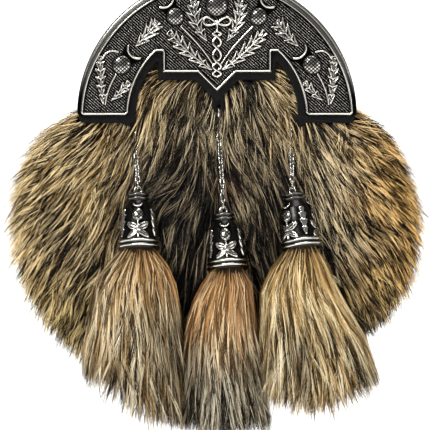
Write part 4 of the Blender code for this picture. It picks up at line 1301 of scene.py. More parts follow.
@dataclass
class Bell:
    """The cast bell that holds the top of a tassel's fur."""

    finish: AntiqueSilver
    spacing: float = 0.42
    around: int = 156
    mean_radius: float = 9.8
    relief_rise: float = 0.85
    top_radius: float = 2.4
    flat_shine: float = 0.1
    beads: tuple[BellBead, ...] = rows(
        BellBead, (1.0, 0.9, 0.8), (3.3, 0.9, 0.8), (28.2, 1.1, 0.9), (30.9, 1.1, 0.9)
    )
    outside: tuple[BellRing, ...] = rows(
        BellRing,
        (5.5, 0),
        (5.5, 4),
        (6.6, 5.6),
        (8.6, 9),
        (9.5, 15),
        (10.1, 24),
        (10.9, 28),
        (11.2, CAP_HEIGHT),
    )
    inside: tuple[BellRing, ...] = rows(
        BellRing, (10.6, CAP_HEIGHT), (9.7, CAP_HEIGHT - 0.4), (9.2, CAP_HEIGHT - 12.0)
    )

    def relief(self) -> ReliefSheet:
        """Casts three thistles with their leaves round the bell.

        Returns:
            The sheet, across in millimetres round the bell.
        """
        round_way = 2 * math.pi * self.mean_radius
        sheet = ReliefSheet((-round_way / 2, -CAP_HEIGHT), (round_way / 2, 0.0), edge_width=0.28)
        for turn in (-1, 0, 1):
            middle = turn * round_way / 3
            sheet.add_thistle(Thistle(bulb=(middle, -13.4), radius=3.3, lean=0.0))
            for side in (1, -1):
                sheet.add_leaf(Leaf((middle, -21.4), (middle + side * 6.0, -18.0), 3.6, -0.4 * side, 0))
                sheet.add_leaf(Leaf((middle, -23.0), (middle + side * 5.6, -26.6), 3.0, 0.4 * side, 0))
                sheet.add_leaf(Leaf((middle + side * 10.0, -25.8), (middle + side * 9.6, -9.4), 3.8, 0.0, 4.0))
            sheet.add_cord(Cord(np.array([(middle, 0.3, -27.0), (middle, 0.3, -16.5)]), 0.5))
        return sheet

    def wall(self) -> tuple[Array, Array, Array]:
        """The bell's walls in its own frame, from the middle of its top down and up again inside.

        Returns:
            Rings of points, their polish and their net.
        """
        sheet = self.relief()
        turn = circle(self.around) - math.pi
        below = np.linspace(0, CAP_HEIGHT, round(CAP_HEIGHT / self.spacing) + 1)
        wide, low = zip(*self.outside)
        radius = np.interp(below, low, wide)
        swell = np.zeros(len(below))
        for bead in self.beads:
            across = (below - bead.below) / bead.half
            swell = np.maximum(swell, bead.height * arched(across))
        swell = swell[:, None]
        wide_turn, wide_below = np.meshgrid(turn, below)
        on_body = smoothstep(4.6, 5.4, wide_below) * smoothstep(27.2, 26.6, wide_below)
        height, shine, net = (
            sheet.sample(values, wide_turn * self.mean_radius, -wide_below) * on_body
            for values in (sheet.height, sheet.polish(), sheet.net)
        )
        shine = np.maximum(shine + 0.19, (swell > 0.35) * (0.05 + 0.85 * swell**4))
        one = np.ones((1, self.around))
        radii = [self.top_radius * one, radius[:, None] + swell + self.relief_rise * height]
        radii = np.vstack(radii + [ring.radius * one for ring in self.inside])
        depths = np.vstack([0.0 * one, wide_below] + [ring.below * one for ring in self.inside])
        rings = np.stack([radii * np.sin(turn), -radii * np.cos(turn), -depths], -1)
        added = ((1, len(self.inside)), (0, 0))
        return rings, np.pad(shine, added, constant_values=self.flat_shine).ravel(), np.pad(net, added).ravel()

    def build(self) -> None:
        """Builds the three bells, each with its eye."""
        rings, shine, net = self.wall()
        points = rings.reshape(-1, 3)
        route = at_depth(EYE_RADIUS * ring(32), 0.0)
        route[:, 2] += EYE_RISE
        eye = wire_loop(route, EYE_WIRE_RADIUS, 10)
        all_points, all_faces = gather([(points, grid_faces(len(rings), self.around, wrap=True)), eye])
        material = self.finish.material()
        attributes = {
            "polish": np.append(shine, np.full(len(eye[0]), 0.8)),
            "hatch": np.zeros(len(all_points)),
            "net": np.append(net, np.zeros(len(eye[0]))),
        }
        ends = [np.arange(self.around), np.arange(len(points) - self.around, len(points))]
        for tassel in TASSELS:
            spun = moved(all_points, Matrix.Rotation(math.radians(tassel.spin), 4, "Z"))
            placed, name = moved(spun, cap_matrix(tassel)), f"bell_{tassel.name}"
            piece = make_piece(name, placed, all_faces, material, "bell_metal", attributes, ends)
            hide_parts(f"tassel_cap_{tassel.name}")


@dataclass
class Leatherwork:
    """The leather panels of the pouch, the backing under the cantle and the strap loops."""

    leather: Material
    thread: Material
    edge_round: float = 0.6
    points_round: int = 160
    stitch_length: float = 2.6
    stitch_gap: float = 1.0
    stitch_radius: float = 0.32
    stitch_inset: float = 3.2
    sheet_shares: tuple[float, ...] = (0.9, 0.78, 0.64, 0.5, 0.36, 0.22, 0.08)
    loop_x: float = 45.0
    loop_widths: tuple = ((-10.0, 0.35), (-9.7, 0.1), (-9.2, 0.0), (9.2, 0.0), (9.7, 0.1), (10.0, 0.35))
    loop_seams: tuple[float, ...] = (18.0, -18.0, 20.5, -20.5)

    def pouch_outline(self, inset: float, turns: Array) -> Array:
        """The pouch's outline: the larger of an oval and a half circle behind the cantle.

        Args:
            inset: How far in it lies.
            turns: Directions from the body's middle.

        Returns:
            The places.
        """
        x, z = np.cos(turns), np.sin(turns)
        vertical = np.where(z > 0, RIM_UP, RIM_DOWN) - inset
        oval = 1 / np.hypot(x / (RIM_HALF_WIDTH - inset), z / vertical)
        rise = CENTRE_Z - RIM_CENTRE_Z
        radius = POUCH_TOP_RADIUS - inset
        circle = rise * z + np.sqrt(np.clip((rise * z) ** 2 + radius**2 - rise**2, 0.0, None))
        reach = np.maximum(oval, circle)
        return np.column_stack([reach * x, RIM_CENTRE_Z + reach * z])

    def sheet(self, rear: float, front: float, crowned: bool) -> Pair:
        """A leather sheet of the pouch's outline with rounded edges.

        Args:
            rear: The depth of its rear.
            front: The depth of its front.
            crowned: Whether it follows the belly.

        Returns:
            Its points and quads.
        """
        off = self.edge_round
        turns, middle = circle(self.points_round), np.array([0.0, RIM_CENTRE_Z])
        levels = ((0.0, off), (0.35 * off, 0.3 * off), (off, 0.0))
        rings = []
        for y, toward in ((rear, -1.0), (front, 1.0)):
            flats = [(self.pouch_outline(inset, turns), toward * short) for inset, short in levels]
            edge = flats[-1][0]
            flats += [(middle + (edge - middle) * share, 0.0) for share in self.sheet_shares]
            side = [at_depth(flat, y + short - crowned * belly(flat)) for flat, short in flats]
            rings += side[::-1] if toward < 0 else side
        return np.vstack(rings), grid_faces(len(rings), self.points_round, wrap=True)

    def stitches(self, route: Array) -> Pair:
        """A line of stitches laid on a surface that looks to the rear.

        Args:
            route: The points that it follows.

        Returns:
            Points and quads of every stitch.
        """
        lengths = np.append(0.0, np.cumsum(np.linalg.norm(np.diff(route, axis=0), axis=1)))
        pitch = self.stitch_length + self.stitch_gap
        made = []
        for index in range(int(lengths[-1] / pitch)):
            ends = np.linspace(index * pitch, index * pitch + self.stitch_length, 5)
            middle = np.column_stack([np.interp(ends, lengths, route[:, axis]) for axis in range(3)])
            middle[:, 1] += self.stitch_radius * np.array([-0.6, 0.5, 0.8, 0.5, -0.6])
            points, faces = wire_loop(middle, self.stitch_radius, 6, closed=False)
            caps = np.array([(0, 1, 2, 3), (0, 3, 4, 5)])
            made.append((points, np.vstack([faces, caps[:, ::-1], caps + len(points) - 6])))
        return gather(made)

    def build(self) -> None:
        """Builds every leather piece and its stitching."""
        self.panels()
        self.gusset()
        self.backing()
        self.loops()

    def panels(self) -> None:
        """Builds the crowned front and the flat back, with a line of stitches round the back."""
        for name, rear, front, crowned in (
            ("front_panel", PANEL_REAR_Y, PANEL_FRONT_Y, True),
            ("back_panel", BACK_REAR_Y, BACK_FRONT_Y, False),
        ):
            points, faces = self.sheet(rear, front, crowned)
            ends = end_faces(len(points), self.points_round)
            piece = make_piece(f"{name}_leather", points, faces, self.leather, "pouch_leather", ends=ends)
            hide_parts(name)
        turns = np.append(circle(self.points_round), 2 * math.pi)
        line = self.stitches(at_depth(self.pouch_outline(self.stitch_inset, turns), BACK_REAR_Y))
        make_piece("back_stitches", *line, self.thread, "pouch_leather")

    def gusset(self) -> None:
        """Builds the side wall, which stops at both ends of the mouth."""
        half_mouth = math.radians(42.0)
        turns = np.linspace(math.pi / 2 + half_mouth, 5 * math.pi / 2 - half_mouth, 120)
        outer = self.pouch_outline(2.0, turns)
        inner = self.pouch_outline(4.0, turns)
        rear, front, off = GUSSET_REAR_Y, GUSSET_FRONT_Y, self.edge_round
        way_in = ((0.0, front + off), (0.25, front), (0.75, front), (1.0, front + off))
        way_out = ((1.0, rear - off), (0.75, rear), (0.25, rear))
        section = ((0.0, rear - off), *way_in, *way_out)
        rings = [at_depth(outer * (1 - share) + inner * share, y) for share, y in section]
        near = np.array([(0, 1, 2, 7), (2, 3, 6, 7), (3, 4, 5, 6)])
        far = near[:, ::-1] + 8 * (len(turns) - 1)
        faces = np.vstack([grid_faces(len(turns), 8, wrap=True), near, far])
        points = np.stack(rings, 1).reshape(-1, 3)
        piece = make_piece("gusset_leather", points, faces, self.leather, "pouch_leather")
        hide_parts("gusset")

    def backing_outline(self, inset: float) -> Array:
        """The outline of the leather under the cantle.

        Args:
            inset: How far in it lies.

        Returns:
            The places.
        """
        margin = BACKING_MARGIN - inset
        outer = BACKING_OUTER_RADIUS - inset
        inner = INNER_RADIUS - margin
        side = BLOCK_HALF_WIDTH + BACKING_SIDE_MARGIN - inset
        notch = min(NOTCH_UP - margin, math.sqrt(inner**2 - side**2) - 1)
        bottom = BLOCK_BOTTOM_UP - margin
        slope = (BLOCK_BOTTOM_UP - V_TIP_UP) / V_HALF_WIDTH
        tip = V_TIP_UP - margin * math.hypot(1.0, slope)
        bend = LEG_CORNER_RADIUS
        half = [(outer * math.cos(t), outer * math.sin(t)) for t in np.linspace(math.pi / 2, 0.0, 50)]
        for centre_x, begin in ((outer - bend, 0.0), (inner + bend, -math.pi / 2)):
            for t in np.linspace(begin, begin - math.pi / 2, 6):
                half.append((centre_x + bend * math.cos(t), bend - margin + bend * math.sin(t)))
        turns = np.linspace(0.05, math.asin(notch / inner), 30)
        half += [(inner * math.cos(t), inner * math.sin(t)) for t in turns]
        half += [(side, notch), (side, bottom), ((bottom - tip) / slope, bottom), (0.0, tip)]
        full = half + [(-x, z) for x, z in reversed(half[1:-1])]
        return np.array(full) + np.array([0.0, CENTRE_Z])

    def backing(self) -> None:
        """Builds the leather under the cantle with a rounded edge, and its hanging tabs."""
        off = 0.7
        steps = ((0.0, off), (0.3 * off, 0.3 * off), (off, 0.0))
        levels = [(BACKING_REAR_Y - short, inset) for short, inset in steps]
        levels += [(BACKING_FRONT_Y + short, inset) for short, inset in steps[::-1]]
        rings = [at_depth(self.backing_outline(inset), y) for y, inset in levels]
        points, count = np.vstack(rings), len(rings[0])
        faces, ends = grid_faces(len(rings), count, wrap=True), end_faces(len(points), count)
        piece = make_piece("backing_leather", points, faces, self.leather, "cantle_leather", ends=ends)
        piece.data.set_sharp_from_angle(angle=math.radians(40))
        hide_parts("cantle_backing")
        tabs = gather(self.tab(tassel) for tassel in TASSELS)
        make_piece("chain_tabs", *tabs, self.leather, "cantle_leather")

    def tab(self, tassel: Tassel) -> Pair:
        """A small hanging tab with a hole for the chain's hook.

        Args:
            tassel: Its tassel.

        Returns:
            Its points and quads.
        """
        root, end = np.array(tassel.tab_root), np.array(tassel.tab_end)
        way = unit(end - root)
        turn = circle(32)
        spoke = np.cos(turn)[:, None] * way + np.sin(turn)[:, None] * np.array([-way[1], way[0]])
        outer = np.where((np.cos(turn) < 0)[:, None], root, end) + TAB_HALF_WIDTH * spoke
        hole = end + TAB_HOLE_RADIUS * spoke
        near = outer * 0.9 + hole * 0.1
        front, rear = TAB_FRONT_Y, TAB_FRONT_Y + TAB_THICKNESS
        levels = [(hole, rear), (near, rear), (outer, rear - 0.4)]
        levels += [(outer, front + 0.4), (near, front), (hole, front)]
        rings = [at_depth(flat, y) for flat, y in levels]
        return np.vstack(rings), grid_faces(len(rings), len(turn), wrap=True, loop=True)

    def loops(self) -> None:
        """Builds the two strap loops with rounded bends and the stitches through their feet."""
        outer, inner = self.loop_section()
        section, centre = np.vstack([outer, inner[::-1]]), (outer + inner) / 2
        centre = np.vstack([centre, centre[::-1]])
        count = len(section)
        near = np.array([(k, k + 1, count - 2 - k, count - 1 - k) for k in range(len(outer) - 1)])
        far = near[:, ::-1] + (len(self.loop_widths) - 1) * count
        faces = np.vstack([grid_faces(len(self.loop_widths), count, wrap=True), near, far])
        for name, middle in (("left", -self.loop_x), ("right", self.loop_x)):
            rings = []
            for width, shrink in self.loop_widths:
                own = section + (centre - section) * shrink
                rings.append(np.column_stack([np.full(count, middle + width), own]))
            piece = make_piece(f"loop_{name}_leather", np.vstack(rings), faces, self.leather, "pouch_leather")
            piece.data.set_sharp_from_angle(angle=math.radians(50))
            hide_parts(f"strap_loop_{name}")
            x = np.linspace(-8.0, 8.0, 30) + middle
            seams = [at_depth(np.column_stack([x, np.full(len(x), z)]), -1.2) for z in self.loop_seams]
            lines = gather(self.stitches(seam) for seam in seams)
            make_piece(f"loop_{name}_stitches", *lines, self.thread, "pouch_leather")

    def loop_section(self) -> Pair:
        """The strip's outer and inner face from its lower foot to its upper one.

        Returns:
            Two rows of (y, z) points, one for each face.
        """
        foot, near, inside, strip, length = -3.2, 3.5, 13.0, 2.0, 8.0
        bare = np.array([(foot, inside + strip + length), (foot, inside), (near, inside), (near, 0.0)])
        halves = []
        for thick, bends in ((strip, (0.5, 1.8)), (0.0, (0.4, 0.4))):
            corners = bare + thick * np.array([(1, 0), (1, 1), (1, 1), (1, 0)])
            half = [corners[:1]]
            for before, corner, after, bend in zip(corners, corners[1:], corners[2:], bends):
                first, last = corner + unit(before - corner) * bend, corner + unit(after - corner) * bend
                half.append(curve(first, corner, last, 7))
            half = np.vstack(half + [corners[3:]])
            halves.append(np.vstack([half * np.array([1, -1]), half[::-1][1:]]))
        return halves[0], halves[1]


# The pelt's colours, charted in millimetres
PELT_PATCHES = rows(
    Patch,
    (0, -90, 400, 400, Palette.TAN, 0.12),
    (-99, -60, 20, 26, Palette.GOLD, 2.0),
    (-104, -96, 18, 22, Palette.GOLD, 1.6),
    (-74, -60, 9, 11, Palette.DARK, 0.8),
    (-86, -86, 12, 12, Palette.DARK, 1.3),
    (-60, -58, 14, 21, Palette.GOLD, 4.5),
    (-65, -43, 14, 8, Palette.TAN, 1.3),
    (-36, -22, 10, 22, Palette.GOLD, 1.0),
    (36, -22, 10, 22, Palette.GOLD, 1.0),
    (-25, -66, 22, 28, Palette.DARK, 7.0),
    (-12, -50, 12, 14, Palette.DARK, 1.6),
    (0, -32, 28, 9, Palette.TAN, 1.0),
    (-2.5, -49, 2.6, 9, Palette.OLIVE, 2.0),
    (6, -52, 3.2, 10, Palette.RUSSET, 2.0),
    (14, -70, 7, 10, Palette.TAN, 1.3),
    (24, -58, 16, 28, Palette.DARK, 6.0),
    (61, -50, 20, 13, Palette.TAN, 1.2),
    (71, -85, 19, 18, Palette.GREY, 1.6),
    (97, -78, 22, 44, Palette.AMBER, 3.0),
    (-85, -135, 20, 22, Palette.OLIVE, 1.2),
    (90, -124, 18, 18, Palette.OLIVE, 1.1),
    (80, -140, 9, 16, Palette.DARK, 1.3),
    (-18, -125, 13, 40, Palette.DARK, 4.0),
    (26, -118, 9, 38, Palette.DARK, 4.0),
    (0, -172, 90, 14, Palette.DARK, 1.2),
)


class Sweep(NamedTuple):
    """A place where the hair is swept aside: its middle, its reach and the added lean to the right."""

    x: float
    z: float
    reach: float
    degrees: float


class Lean(NamedTuple):
    """How far from upright the hair lies at a distance from the middle line."""

    across: float
    degrees: float


PELT_SWEEPS = rows(Sweep, (-24, -74, 14, -34), (13, -70, 12, 28), (-70, -58, 14, -12))
PELT_LEANS = rows(Lean, (0, 0), (20, 16), (40, 18), (62, 22), (80, 34), (101, 50), (120, 56))
STRAND_KINDS = 65536
HAIR_SHARES = (0.0, 0.33, 0.67, 1.0)
HAIR_TAPER = (0.9, 1.0, 0.8, 0.12)


def strand_cells(across: Array, along: Array, wide: float, long: float) -> Pair:
    """Sorts roots into strands, in staggered cells.

    Args:
        across: Places across the hair's lie.
        along: Places along it.
        wide: A strand's width.
        long: Its length.

    Returns:
        Each root's strand, and how far the root lies beside its middle.
    """
    column = np.floor(across / wide).astype(int)
    shift = (column * 0.618034) % 1.0
    row = np.floor(along / long + shift).astype(int)
    return (column * 7919 + row * 104729) % STRAND_KINDS, across - (column + 0.5) * wide


def toned(mixes: Array, tones: Array) -> Array:
    """Reads colours off the ladder from near black over dark and middle to pale. The near-black step is partly
    black hair and partly painted shade in the gaps between strands and deep in the coat.

    Args:
        mixes: Each hair's pale, middle and dark colour.
        tones: Each knot's tone, from 0 near black to 1 pale.

    Returns:
        Each knot's colour.
    """
    pale, middle, dark = mixes[:, 0], mixes[:, 1], mixes[:, 2]
    # Painted shade, with black hair: the step below dark, at about a third of it.
    ladder = np.stack([dark * 0.35, dark, middle, pale], 1)
    place = np.clip(tones, 0.0, 0.9999) * 3
    low = place.astype(int)
    share = (place - low)[..., None]
    rows = np.arange(len(mixes))[:, None]
    return ladder[rows, low] * (1 - share) + ladder[rows, low + 1] * share


def charted(patches: Sequence[Patch], flat: Array, sway: Array) -> Array:
    """Mixes the colours of the patches that reach a place.

    Args:
        patches: The chart.
        flat: The places.
        sway: Factors for each place and patch.

    Returns:
        The pale, middle and dark colour at each place.
    """
    x, z = flat.T
    reach = [p.strength * bump(x, p.x, p.wide) * bump(z, p.z, p.high) for p in patches]
    table = np.stack(reach, 1) * sway[:, : len(patches)]
    table /= table.sum(1, keepdims=True)
    colours = np.array([[linear(colour)[:3] for colour in patch.mix.value] for patch in patches])
    return np.einsum("hp,pcx->hcx", table, colours)


class Strands:
    """What the hairs of a strand share by chance."""

    def __init__(self, draw: Chance) -> None:
        """Draws the values."""
        self.tone = draw.random(STRAND_KINDS)
        self.rise = draw.uniform(0.35, 1.15, STRAND_KINDS)
        self.turn = draw.normal(0.0, 1.0, STRAND_KINDS)
        self.length = draw.uniform(0.72, 1.12, STRAND_KINDS)
        self.sway = draw.uniform(0.4, 1.6, (STRAND_KINDS, len(PELT_PATCHES)))


@dataclass
class Hairs:
    """Many hairs as tapered ribbons, with their colours, ready to become pieces."""

    paths: Array
    widths: Array
    colours: Array
    facing: Array
    seed: int

    def mesh(self, chosen: Array) -> tuple[Array, Array, Array]:
        """Turns some hairs into ribbons.

        Args:
            chosen: The numbers of the hairs.

        Returns:
            Points, triangles and a colour for each point.
        """
        draw = np.random.default_rng(self.seed)
        roll = draw.normal(0.0, 0.55, len(self.paths))[chosen]
        paths = self.paths[chosen]
        count, knots = paths.shape[:2]
        along = np.gradient(paths, axis=1)
        along /= np.linalg.norm(along, axis=2, keepdims=True) + 1e-9
        facing = np.repeat(self.facing[chosen][:, None, :], knots, 1)
        side = np.cross(along, facing)
        side /= np.linalg.norm(side, axis=2, keepdims=True) + 1e-9
        lift = np.cross(side, along)
        side = side * np.cos(roll)[:, None, None] + lift * np.sin(roll)[:, None, None]
        half = self.widths[chosen][:, :, None] / 2
        left = paths[:, :-1] - side[:, :-1] * half[:, :-1]
        right = paths[:, :-1] + side[:, :-1] * half[:, :-1]
        pairs = np.stack([left, right], 2).reshape(count, -1, 3)
        points = np.concatenate([pairs, paths[:, -1:]], 1)
        each = 2 * (knots - 1) + 1
        pattern = []
        for knot in range(knots - 2):
            low = 2 * knot
            pattern += [(low, low + 1, low + 3), (low, low + 3, low + 2)]
        pattern.append((each - 3, each - 2, each - 1))
        faces = (np.arange(count)[:, None, None] * each + np.array(pattern)[None]).reshape(-1, 3)
        colours = self.colours[chosen]
        paired = np.repeat(colours[:, :-1], 2, 1)
        shades = np.concatenate([paired, colours[:, -1:]], 1)
        return points.reshape(-1, 3), faces, shades.reshape(-1, 3)

    def build(self, name: str, chosen: Array, material: Material, slot: str) -> bpy.types.Object:
        """Makes a piece of some hairs, with a map that gives each hair a cell of its own for baking.

        Args:
            name: The piece's name.
            chosen: The numbers of the hairs.
            material: Their finish.
            slot: The record's slot.

        Returns:
            The piece.
        """
        points, faces, shades = self.mesh(chosen)
        attributes = {"hair_colour_and_shade": shades}
        piece = make_piece(name, points, faces, material, slot, attributes, closed=False)
        knots = self.paths.shape[1]
        each = 2 * (knots - 1) + 1
        cells = math.ceil(math.sqrt(len(chosen) / 3))
        number = np.arange(len(chosen))
        column = number % (3 * cells)
        row = number // (3 * cells)
        level = np.repeat(np.arange(knots - 1) / (knots - 1), 2)
        v = np.append(level, 1.0) * 0.8 + 0.1
        u = np.append(np.tile([0.15, 0.85], knots - 1), 0.5)
        all_u = (column[:, None] + u[None]) / (3 * cells)
        all_v = (row[:, None] + v[None]) / cells
        both = np.stack([all_u, all_v], -1).reshape(len(chosen) * each, 2)
        layer = piece.data.uv_layers.new(name="OFBake")
        layer.data.foreach_set("uv", both[faces.ravel()].astype(np.float32).ravel())
        return piece


def rotated(ways: Array, angles: Array) -> Array:
    """Turns flat directions, rows of x and z, by angles in radians."""
    x, z = ways[:, 0], ways[:, 1]
    return np.column_stack([x * np.cos(angles) - z * np.sin(angles), x * np.sin(angles) + z * np.cos(angles)])


def tapered(thickness: float, count: int, draw: Chance) -> Array:
    """Draws the width of each hair at each of its knots."""
    return thickness * draw.uniform(0.7, 1.2, (count, 1)) * np.array([HAIR_TAPER])


def rim_points(turn: Array) -> Array:
    """Places on the oval rim, in directions from the body's middle, in radians."""
    vertical = np.where(np.sin(turn) > 0, RIM_UP, RIM_DOWN)
    return np.column_stack([RIM_HALF_WIDTH * np.cos(turn), RIM_CENTRE_Z + vertical * np.sin(turn)])


def rim_lie(flat: Array, spread: float = HAIR_SPREAD) -> tuple[Array, Array, Array]:
    """How the hair lies round the pouch's edge.

    Args:
        flat: The places.
        spread: How strongly the hair stands out from the edge.

    Returns:
        The outward normal, the lie of the hair, and the share of the way round.
    """
    x, z = flat.T
    up = z - RIM_CENTRE_Z
    vertical = np.where(up > 0, RIM_UP, RIM_DOWN)
    normal = np.column_stack([x / RIM_HALF_WIDTH**2, up / vertical**2])
    normal /= np.linalg.norm(normal, axis=1, keepdims=True) + 1e-9
    turn = np.degrees(np.arctan2(up / vertical, x / RIM_HALF_WIDTH))
    turn = np.where(turn < 90, turn + 360, turn)
    share = np.clip((turn - RIM_TURN_START) / RIM_TURN_SWEEP, 0.0, 1.0)
    side = 2 * share - 1
    fall = math.radians(HAIR_FALL_ANGLE) * np.sign(side) * np.abs(side) ** HAIR_FALL_POWER
    return normal, unit(np.column_stack([np.sin(fall), -np.cos(fall)]) + normal * spread), share


@dataclass
class Pelt:
    """The long-haired skin over the front and the sides of the pouch."""

    hair: Material
    under: Material
    front_hairs: int = 70000
    side_hairs: int = 20000
    locks: int = 520
    fan_radius: float = 150.0
    pole_z: float = 52.0
    length: float = 33.0
    rise: float = 6.6
    thickness: float = 0.3
    strand_width: float = 0.46
    contrast: float = 2.8
    curl: float = 0.95
    loner_share: float = 0.12
    dusk: float = 0.5
    seed: int = 7

    def flow(self, flat: Array) -> Array:
        """Which way the hair lies: down from the cantle, aside in the sweeps, and outwards near the rim.

        Args:
            flat: The places.

        Returns:
            Their directions, of length one.
        """
        x, z = flat.T
        lean = np.interp(np.abs(x), *zip(*PELT_LEANS))
        lean *= np.sign(x) * (1 - 0.35 * smoothstep(-100, -170, z))
        for sweep in PELT_SWEEPS:
            off = ((x - sweep.x) ** 2 + (z - sweep.z) ** 2) / sweep.reach**2
            lean += sweep.degrees * np.exp(-off)
        angle = np.radians(lean)
        inner = np.column_stack([np.sin(angle), -np.cos(angle)])
        near_rim = smoothstep(0.8, 1.05, rim_share(flat))[:, None]
        return unit(inner * (1 - near_rim) + rim_lie(flat, 0.08)[1] * near_rim)

    def front_roots(self, draw: Chance) -> Array:
        """Draws where the hair's roots are over the front.

        Args:
            draw: The source of chance.

        Returns:
            The places.
        """
        found = np.zeros((0, 2))
        while len(found) < self.front_hairs:
            x = draw.uniform(-RIM_HALF_WIDTH, RIM_HALF_WIDTH, 60000)
            z = draw.uniform(RIM_CENTRE_Z - RIM_DOWN, 12.0, 60000)
            flat = np.column_stack([x, z])
            on_pouch = (rim_share(flat) < 1) | ((np.hypot(x, z - CENTRE_Z) < 70) & (z > -40))
            found = np.vstack([found, flat[on_pouch & (cover_distance(flat) > -3.0)]])
        return found[: self.front_hairs]

    def build(self) -> None:
        """Grows the coat, makes it in pieces by where it grows, and lays the skin under it."""
        draw = np.random.default_rng(self.seed)
        front = self.front_coat(draw)
        sides = self.side_coat(draw)
        self.skin()
        middle = front.paths[:, 0, 0]
        groups = (
            ("coat_left", front, np.flatnonzero(middle < -34)),
            ("coat_middle", front, np.flatnonzero(np.abs(middle) <= 34)),
            ("coat_right", front, np.flatnonzero(middle > 34)),
            ("coat_edge", sides, np.arange(len(sides.paths))),
        )
        for name, hairs, chosen in groups:
            piece = hairs.build(name, chosen, self.hair, "pelt")
            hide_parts("fur_body")

    def front_coat(self, draw: Chance) -> Hairs:
        """Grows the hair of the front in strands, and the strands in locks.

        Args:
            draw: The source of chance.

        Returns:
            The hairs.
        """
        roots = self.front_roots(draw)
        count = len(roots)
        x, z = roots[:, 0], roots[:, 1]
        radius = np.hypot(x, z - self.pole_z)
        angle = np.arctan2(x, self.pole_z - z)
        strand, off = strand_cells(angle * self.fan_radius, radius, self.strand_width, 5.0)
        shared = Strands(draw)
        lock = nearest(roots, roots[draw.choice(count, self.locks, replace=False)])
        lock_turn = draw.normal(0.0, 0.15, self.locks)[lock]
        lock_length = draw.uniform(0.8, 1.15, self.locks)[lock]
        lock_shade = draw.uniform(-0.08, 0.08, self.locks)[lock]
        turn = lock_turn + 0.12 * shared.turn[strand] + draw.normal(0.0, 0.011, count)
        length = self.length * lock_length * shared.length[strand] * draw.uniform(0.85, 1.05, count)
        length *= 1 - 0.4 * smoothstep(0.72, 1.0, rim_share(roots))
        tangent = np.column_stack([np.cos(angle), np.sin(angle)])
        gather_by = tangent * (off * radius / self.fan_radius)[:, None]
        at = roots.copy()
        knots = [at.copy()]
        for before, t in zip(HAIR_SHARES, HAIR_SHARES[1:]):
            way = rotated(self.flow(at), turn * (0.6 + 0.6 * t))
            at = at + way * (length * (t - before))[:, None]
            knots.append(at - gather_by * 0.75 * t**1.2)
        flat = np.stack(knots, 1)
        own_rise = shared.rise[strand] + draw.uniform(-0.06, 0.06, count)
        rise = self.rise * own_rise[:, None] * np.array([[0.0, 0.5, 0.86, 1.0]])
        near = cover_distance(flat)
        rise = np.minimum(rise, np.where(near > 0, 0.9 + 1.2 * near, 0.7))
        past = np.clip(rim_share(flat) - 1, 0, None) * RIM_HALF_WIDTH
        y = SKIN_Y - belly(flat) - rise + 0.42 * past
        paths = np.stack([flat[:, :, 0], y, flat[:, :, 1]], -1)
        widths = tapered(self.thickness, count, draw)
        tone = self.spread_tone(shared.tone[strand]) + lock_shade + draw.uniform(-0.3, 0.16, count)
        at_rim = smoothstep(0.8, 1.0, rim_share(roots))
        colours = self.coloured(roots, tone, shared.sway[strand], 0.35 + 0.28 * at_rim, draw)
        facing = np.tile(np.array([0.0, -1.0, 0.0]), (count, 1))
        return Hairs(paths, widths, colours, facing, self.seed + 1)

    def spread_tone(self, tone: Array) -> Array:
        """Drives the tones of strands, from 0 to 1, apart, so that pale ones lie beside near-black ones; the
        near-black ones are partly dark hair and partly painted shade in the gaps between strands.
        """
        return 0.5 + self.contrast * (tone - 0.5)

    def coloured(self, flat: Array, tone: Array, sway: Array, dark_tips: Array, draw: Chance) -> Array:
        """Colours each hair from its darkened root to its tip: the dark root is partly the hair's own colour
        and partly painted shade deep in the coat.

        Args:
            flat: The places of the roots.
            tone: How pale each hair is.
            sway: Its strand's factors for the chart.
            dark_tips: The share of hairs with a dark tip.
            draw: The source of chance.

        Returns:
            A colour for each knot of each hair.
        """
        mixes = charted(PELT_PATCHES, flat, sway)
        tone = tone - self.dusk * smoothstep(0.16, 0.03, mixes[:, 1].mean(1))
        tip = np.where(draw.random(len(flat)) < dark_tips, tone - 0.5, tone + 0.1)
        # Painted shade, with the hair's own banding: the root is darkened to half of the hair's tone.
        tones = np.stack([tone * 0.5, tone * 0.92, tone, tip], 1)
        return toned(mixes, tones)

    def side_coat(self, draw: Chance) -> Hairs:
        """Grows the hair that stands out round the pouch's edge.

        Args:
            draw: The source of chance.

        Returns:
            The hairs.
        """
        count = self.side_hairs
        turn = np.radians(draw.uniform(RIM_TURN_START - 8, RIM_TURN_START + RIM_TURN_SWEEP + 8, count))
        depth = draw.uniform(-31.0, -8.0, count)
        rim = rim_points(turn)
        normal, way, share = rim_lie(rim)
        root = rim + normal * 1.4
        strand, _ = strand_cells(turn * 95.0, depth, 0.6, 2.0)
        shared = Strands(draw)
        turned = 0.12 * shared.turn[strand] + draw.normal(0, 0.03, count)
        rearward = (depth + 31) / 23
        reach = SIDE_REACH + (LOWER_REACH - SIDE_REACH) * np.sin(math.pi * share)
        chance = 0.55 * (shared.length[strand] + 1.0) * draw.uniform(0.72, 1.14, count)
        reach *= np.minimum(chance, 1.22) * (1 - 0.22 * rearward)
        beyond = np.clip(np.abs(np.degrees(turn) - 270) - RIM_TURN_SWEEP / 2, 0, 8) / 8
        reach *= 1.05 - 0.42 * beyond + 0.2 * bump(share, 0.03, 0.1) * (1 - beyond)
        reach *= 1 - 0.3 * bump(np.degrees(turn), 318, 16)
        loner = draw.random(count) < self.loner_share
        reach *= np.where(loner, 1.18, 1.0)
        bent = -np.sign(rim[:, 0]) * np.abs(2 * share - 1) * self.curl
        swing = 1.8 * shared.turn[(strand * 31) % STRAND_KINDS]
        flat = root
        knots = [at_depth(flat, np.minimum(depth, -4.5))]
        for before, t in zip(HAIR_SHARES, HAIR_SHARES[1:]):
            own = rotated(way, turned * (0.5 + 0.8 * t) + bent * ((before + t) / 2 - 0.2))
            flat = flat + own * (reach * (t - before))[:, None]
